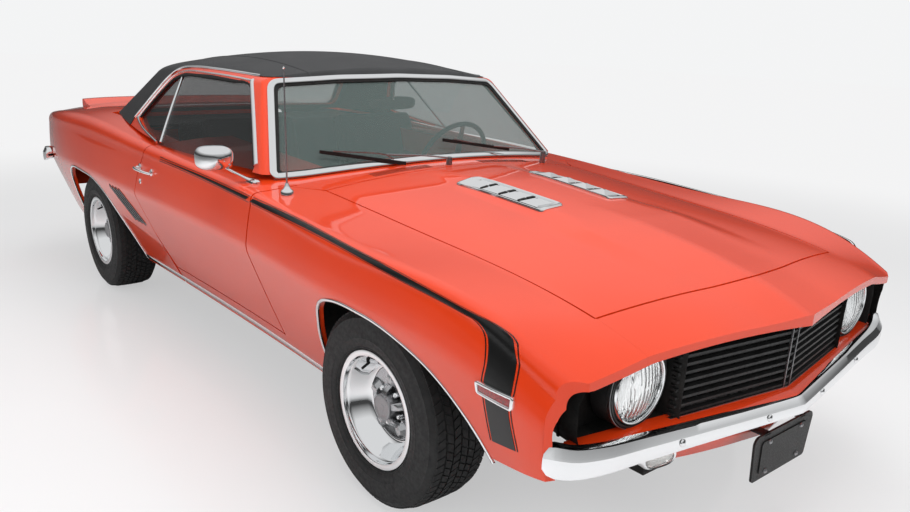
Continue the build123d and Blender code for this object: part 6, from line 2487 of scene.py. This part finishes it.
@dataclass
class Studio:
    """Pale floor, backdrop, soft lamps and the camera at the photograph's view."""

    eye: Point = (3.258, -2.106, 1.435)
    yaw: float = 140.23
    pitch: float = -18.20
    roll: float = 2.24
    focal: float = 781.3
    centre: Flat = (444.6, 295.6)
    size: Flat = (910.0, 512.0)
    floor_glow: float = 0.55
    glow_from: float = 2.6
    glow_to: float = 7.5
    floor_reach: float = 40.0
    soft_light: float = 0.50

    def build(self) -> None:
        """Makes the floor, the lamps, the world and the camera."""
        self.camera()
        self.floor()
        self.world()
        self.lamps()

    def camera(self) -> None:
        """Places the camera."""
        yaw, pitch, roll = (math.radians(a) for a in (self.yaw, self.pitch, self.roll))
        ahead = Vector((math.cos(pitch) * math.cos(yaw), math.cos(pitch) * math.sin(yaw), math.sin(pitch)))
        right = Vector((math.sin(yaw), -math.cos(yaw), 0.0))
        up = right.cross(ahead)
        across = right * math.cos(roll) + up * math.sin(roll)
        rise = up * math.cos(roll) - right * math.sin(roll)
        data = bpy.data.cameras.new("photo_camera")
        data.sensor_width = 36.0
        data.lens = self.focal * 36.0 / self.size[0]
        data.shift_x = (self.size[0] / 2 - self.centre[0]) / self.size[0]
        data.shift_y = (self.centre[1] - self.size[1] / 2) / self.size[0]
        data.clip_end = 200.0
        camera = bpy.data.objects.new("photo_camera", data)
        camera.matrix_world = Matrix((
            (across.x, rise.x, -ahead.x, self.eye[0]),
            (across.y, rise.y, -ahead.y, self.eye[1]),
            (across.z, rise.z, -ahead.z, self.eye[2]),
            (0, 0, 0, 1),
        ))
        bpy.context.scene.collection.objects.link(camera)
        bpy.context.scene.camera = camera

    def floor(self) -> None:
        """Glossy pale floor that mirrors the car softly."""
        finish = Finish("studio_floor").set(Specular_IOR_Level=0.5)
        finish.ramp(finish.noise(0.6), "Base Color", (0.84, 0.84, 0.845), (0.88, 0.88, 0.885))
        finish.ramp(finish.noise(1.5), "Roughness", 0.10, 0.16)
        glow, rays = finish.nodes.new("ShaderNodeEmission"), finish.nodes.new("ShaderNodeLightPath")
        glow.inputs["Color"].default_value = (0.90, 0.90, 0.905, 1.0)
        share, mix = finish.nodes.new("ShaderNodeMath"), finish.nodes.new("ShaderNodeMixShader")
        share.operation = "MULTIPLY"
        far, fade = finish.nodes.new("ShaderNodeVectorMath"), finish.nodes.new("ShaderNodeMapRange")
        far.operation = "LENGTH"
        fade.interpolation_type = "SMOOTHSTEP"
        for key, value in (("From Min", self.glow_from), ("From Max", self.glow_to),
                           ("To Min", self.floor_glow), ("To Max", 1.0)):
            fade.inputs[key].default_value = value
        finish.links.new(finish.coordinates(1.0), far.inputs[0])
        finish.links.new(far.outputs["Value"], fade.inputs["Value"])
        finish.links.new(fade.outputs["Result"], share.inputs[1])
        finish.links.new(rays.outputs["Is Camera Ray"], share.inputs[0])
        finish.links.new(share.outputs[0], mix.inputs["Fac"])
        finish.links.new(finish.shader.outputs["BSDF"], mix.inputs[1])
        finish.links.new(glow.outputs["Emission"], mix.inputs[2])
        finish.links.new(mix.outputs["Shader"], finish.nodes["Material Output"].inputs["Surface"])
        reach = self.floor_reach
        slab = Maker.mesh("studio_floor", [(-reach, -reach, 0), (reach, -reach, 0), (reach, reach, 0),
                                           (-reach, reach, 0)],
                          [(0, 1, 2, 3)], finish)

    def world(self) -> None:
        """Soft white surroundings, with a plain pale background to the eye and in mirrors."""
        world = bpy.data.worlds.new("studio_world")
        world.use_nodes = True
        bpy.context.scene.world = world
        nodes, links = world.node_tree.nodes, world.node_tree.links
        soft = nodes["Background"]
        soft.inputs["Color"].default_value = (0.93, 0.94, 0.95, 1.0)
        soft.inputs["Strength"].default_value = self.soft_light
        seen = nodes.new("ShaderNodeBackground")
        seen.inputs["Color"].default_value = (0.90, 0.905, 0.91, 1.0)
        mirrored = nodes.new("ShaderNodeBackground")
        mirrored.inputs["Color"].default_value = (0.95, 0.955, 0.96, 1.0)
        way = nodes.new("ShaderNodeTexCoord")
        split = nodes.new("ShaderNodeSeparateXYZ")
        rise = nodes.new("ShaderNodeMapRange")
        for key, value in (("From Min", 0.12), ("From Max", 0.60), ("To Min", 0.06), ("To Max", 0.80)):
            rise.inputs[key].default_value = value
        links.new(way.outputs["Generated"], split.inputs[0])
        links.new(split.outputs["Z"], rise.inputs["Value"])
        links.new(rise.outputs["Result"], mirrored.inputs["Strength"])
        rays = nodes.new("ShaderNodeLightPath")
        gloss = nodes.new("ShaderNodeMixShader")
        mix = nodes.new("ShaderNodeMixShader")
        clear = nodes.new("ShaderNodeMath")
        clear.operation = "MAXIMUM"
        links.new(rays.outputs["Is Glossy Ray"], gloss.inputs["Fac"])
        links.new(soft.outputs["Background"], gloss.inputs[1])
        links.new(mirrored.outputs["Background"], gloss.inputs[2])
        links.new(rays.outputs["Is Camera Ray"], clear.inputs[0])
        links.new(rays.outputs["Is Transmission Ray"], clear.inputs[1])
        links.new(clear.outputs[0], mix.inputs["Fac"])
        links.new(gloss.outputs["Shader"], mix.inputs[1])
        links.new(seen.outputs["Background"], mix.inputs[2])
        links.new(mix.outputs["Shader"], nodes["World Output"].inputs["Surface"])

    def lamps(self) -> None:
        """Large soft lamps over and beside the car."""
        for name, place, aim, size, power in (
            ("ceiling_lamp", (0.2, 0.3, 4.6), (0.0, 0.0, 0.6), (6.5, 3.2), 210.0),
            ("side_lamp", (2.2, -5.4, 2.6), (0.6, -0.6, 0.6), (5.5, 2.2), 95.0),
            ("front_lamp", (6.2, 1.6, 2.8), (1.6, 0.2, 0.6), (3.5, 2.2), 80.0),
        ):
            data = bpy.data.lights.new(name, "AREA")
            data.shape = "RECTANGLE"
            data.size, data.size_y = size
            data.energy = power
            lamp = bpy.data.objects.new(name, data)
            lamp.visible_glossy = False
            lamp.location = place
            lamp.rotation_euler = (Vector(aim) - Vector(place)).to_track_quat("-Z", "Y").to_euler()
            bpy.context.scene.collection.objects.link(lamp)


def main() -> None:
    """Builds the looks of the car in order."""
    logging.basicConfig(level=logging.INFO, format="%(message)s")
    bpy.context.scene.view_settings.view_transform = "Standard"
    palette = Palette.make()
    for part in ASSEMBLIES:
        part(palette).build()
    dress_frame(palette)
    Studio().build()


def dress_frame(palette: Palette) -> None:
    """Gives each CAD node that still shows its finish.

    Args:
        palette: Finishes of the car.
    """
    by_slot = {
        "body_paint": palette.paint, "underbody_black": palette.inner_black, "engine_grey": palette.iron,
        "black_plastic": palette.plastic, "satin_black": palette.inner_black, "chrome": palette.chrome,
        "satin_metal": palette.satin, "tinted_glass": palette.glass, "lamp_glass": palette.lens,
        "black_vinyl": palette.vinyl, "red_lens": palette.red_lens, "cast_metal": palette.iron,
        "black_seat": palette.seat, "wheel_silver": palette.wheel, "tyre": palette.rubber,
    }
    slots = {item["node"]: item["material_slot"] for item in frame["record"]["subparts"]}
    for name, thing in frame["nodes"].items():
        finish = by_slot[slots[name]]
        if thing.data.materials:
            thing.data.materials[0] = finish.material
        else:
            thing.data.materials.append(finish.material)


ASSEMBLIES = (BodyPanels, Greenhouse, Nose, Bumpers, RoadWheels, SideTrim, TopPieces, Cabin,
              Tail)


if __name__ == "__main__":
    main()
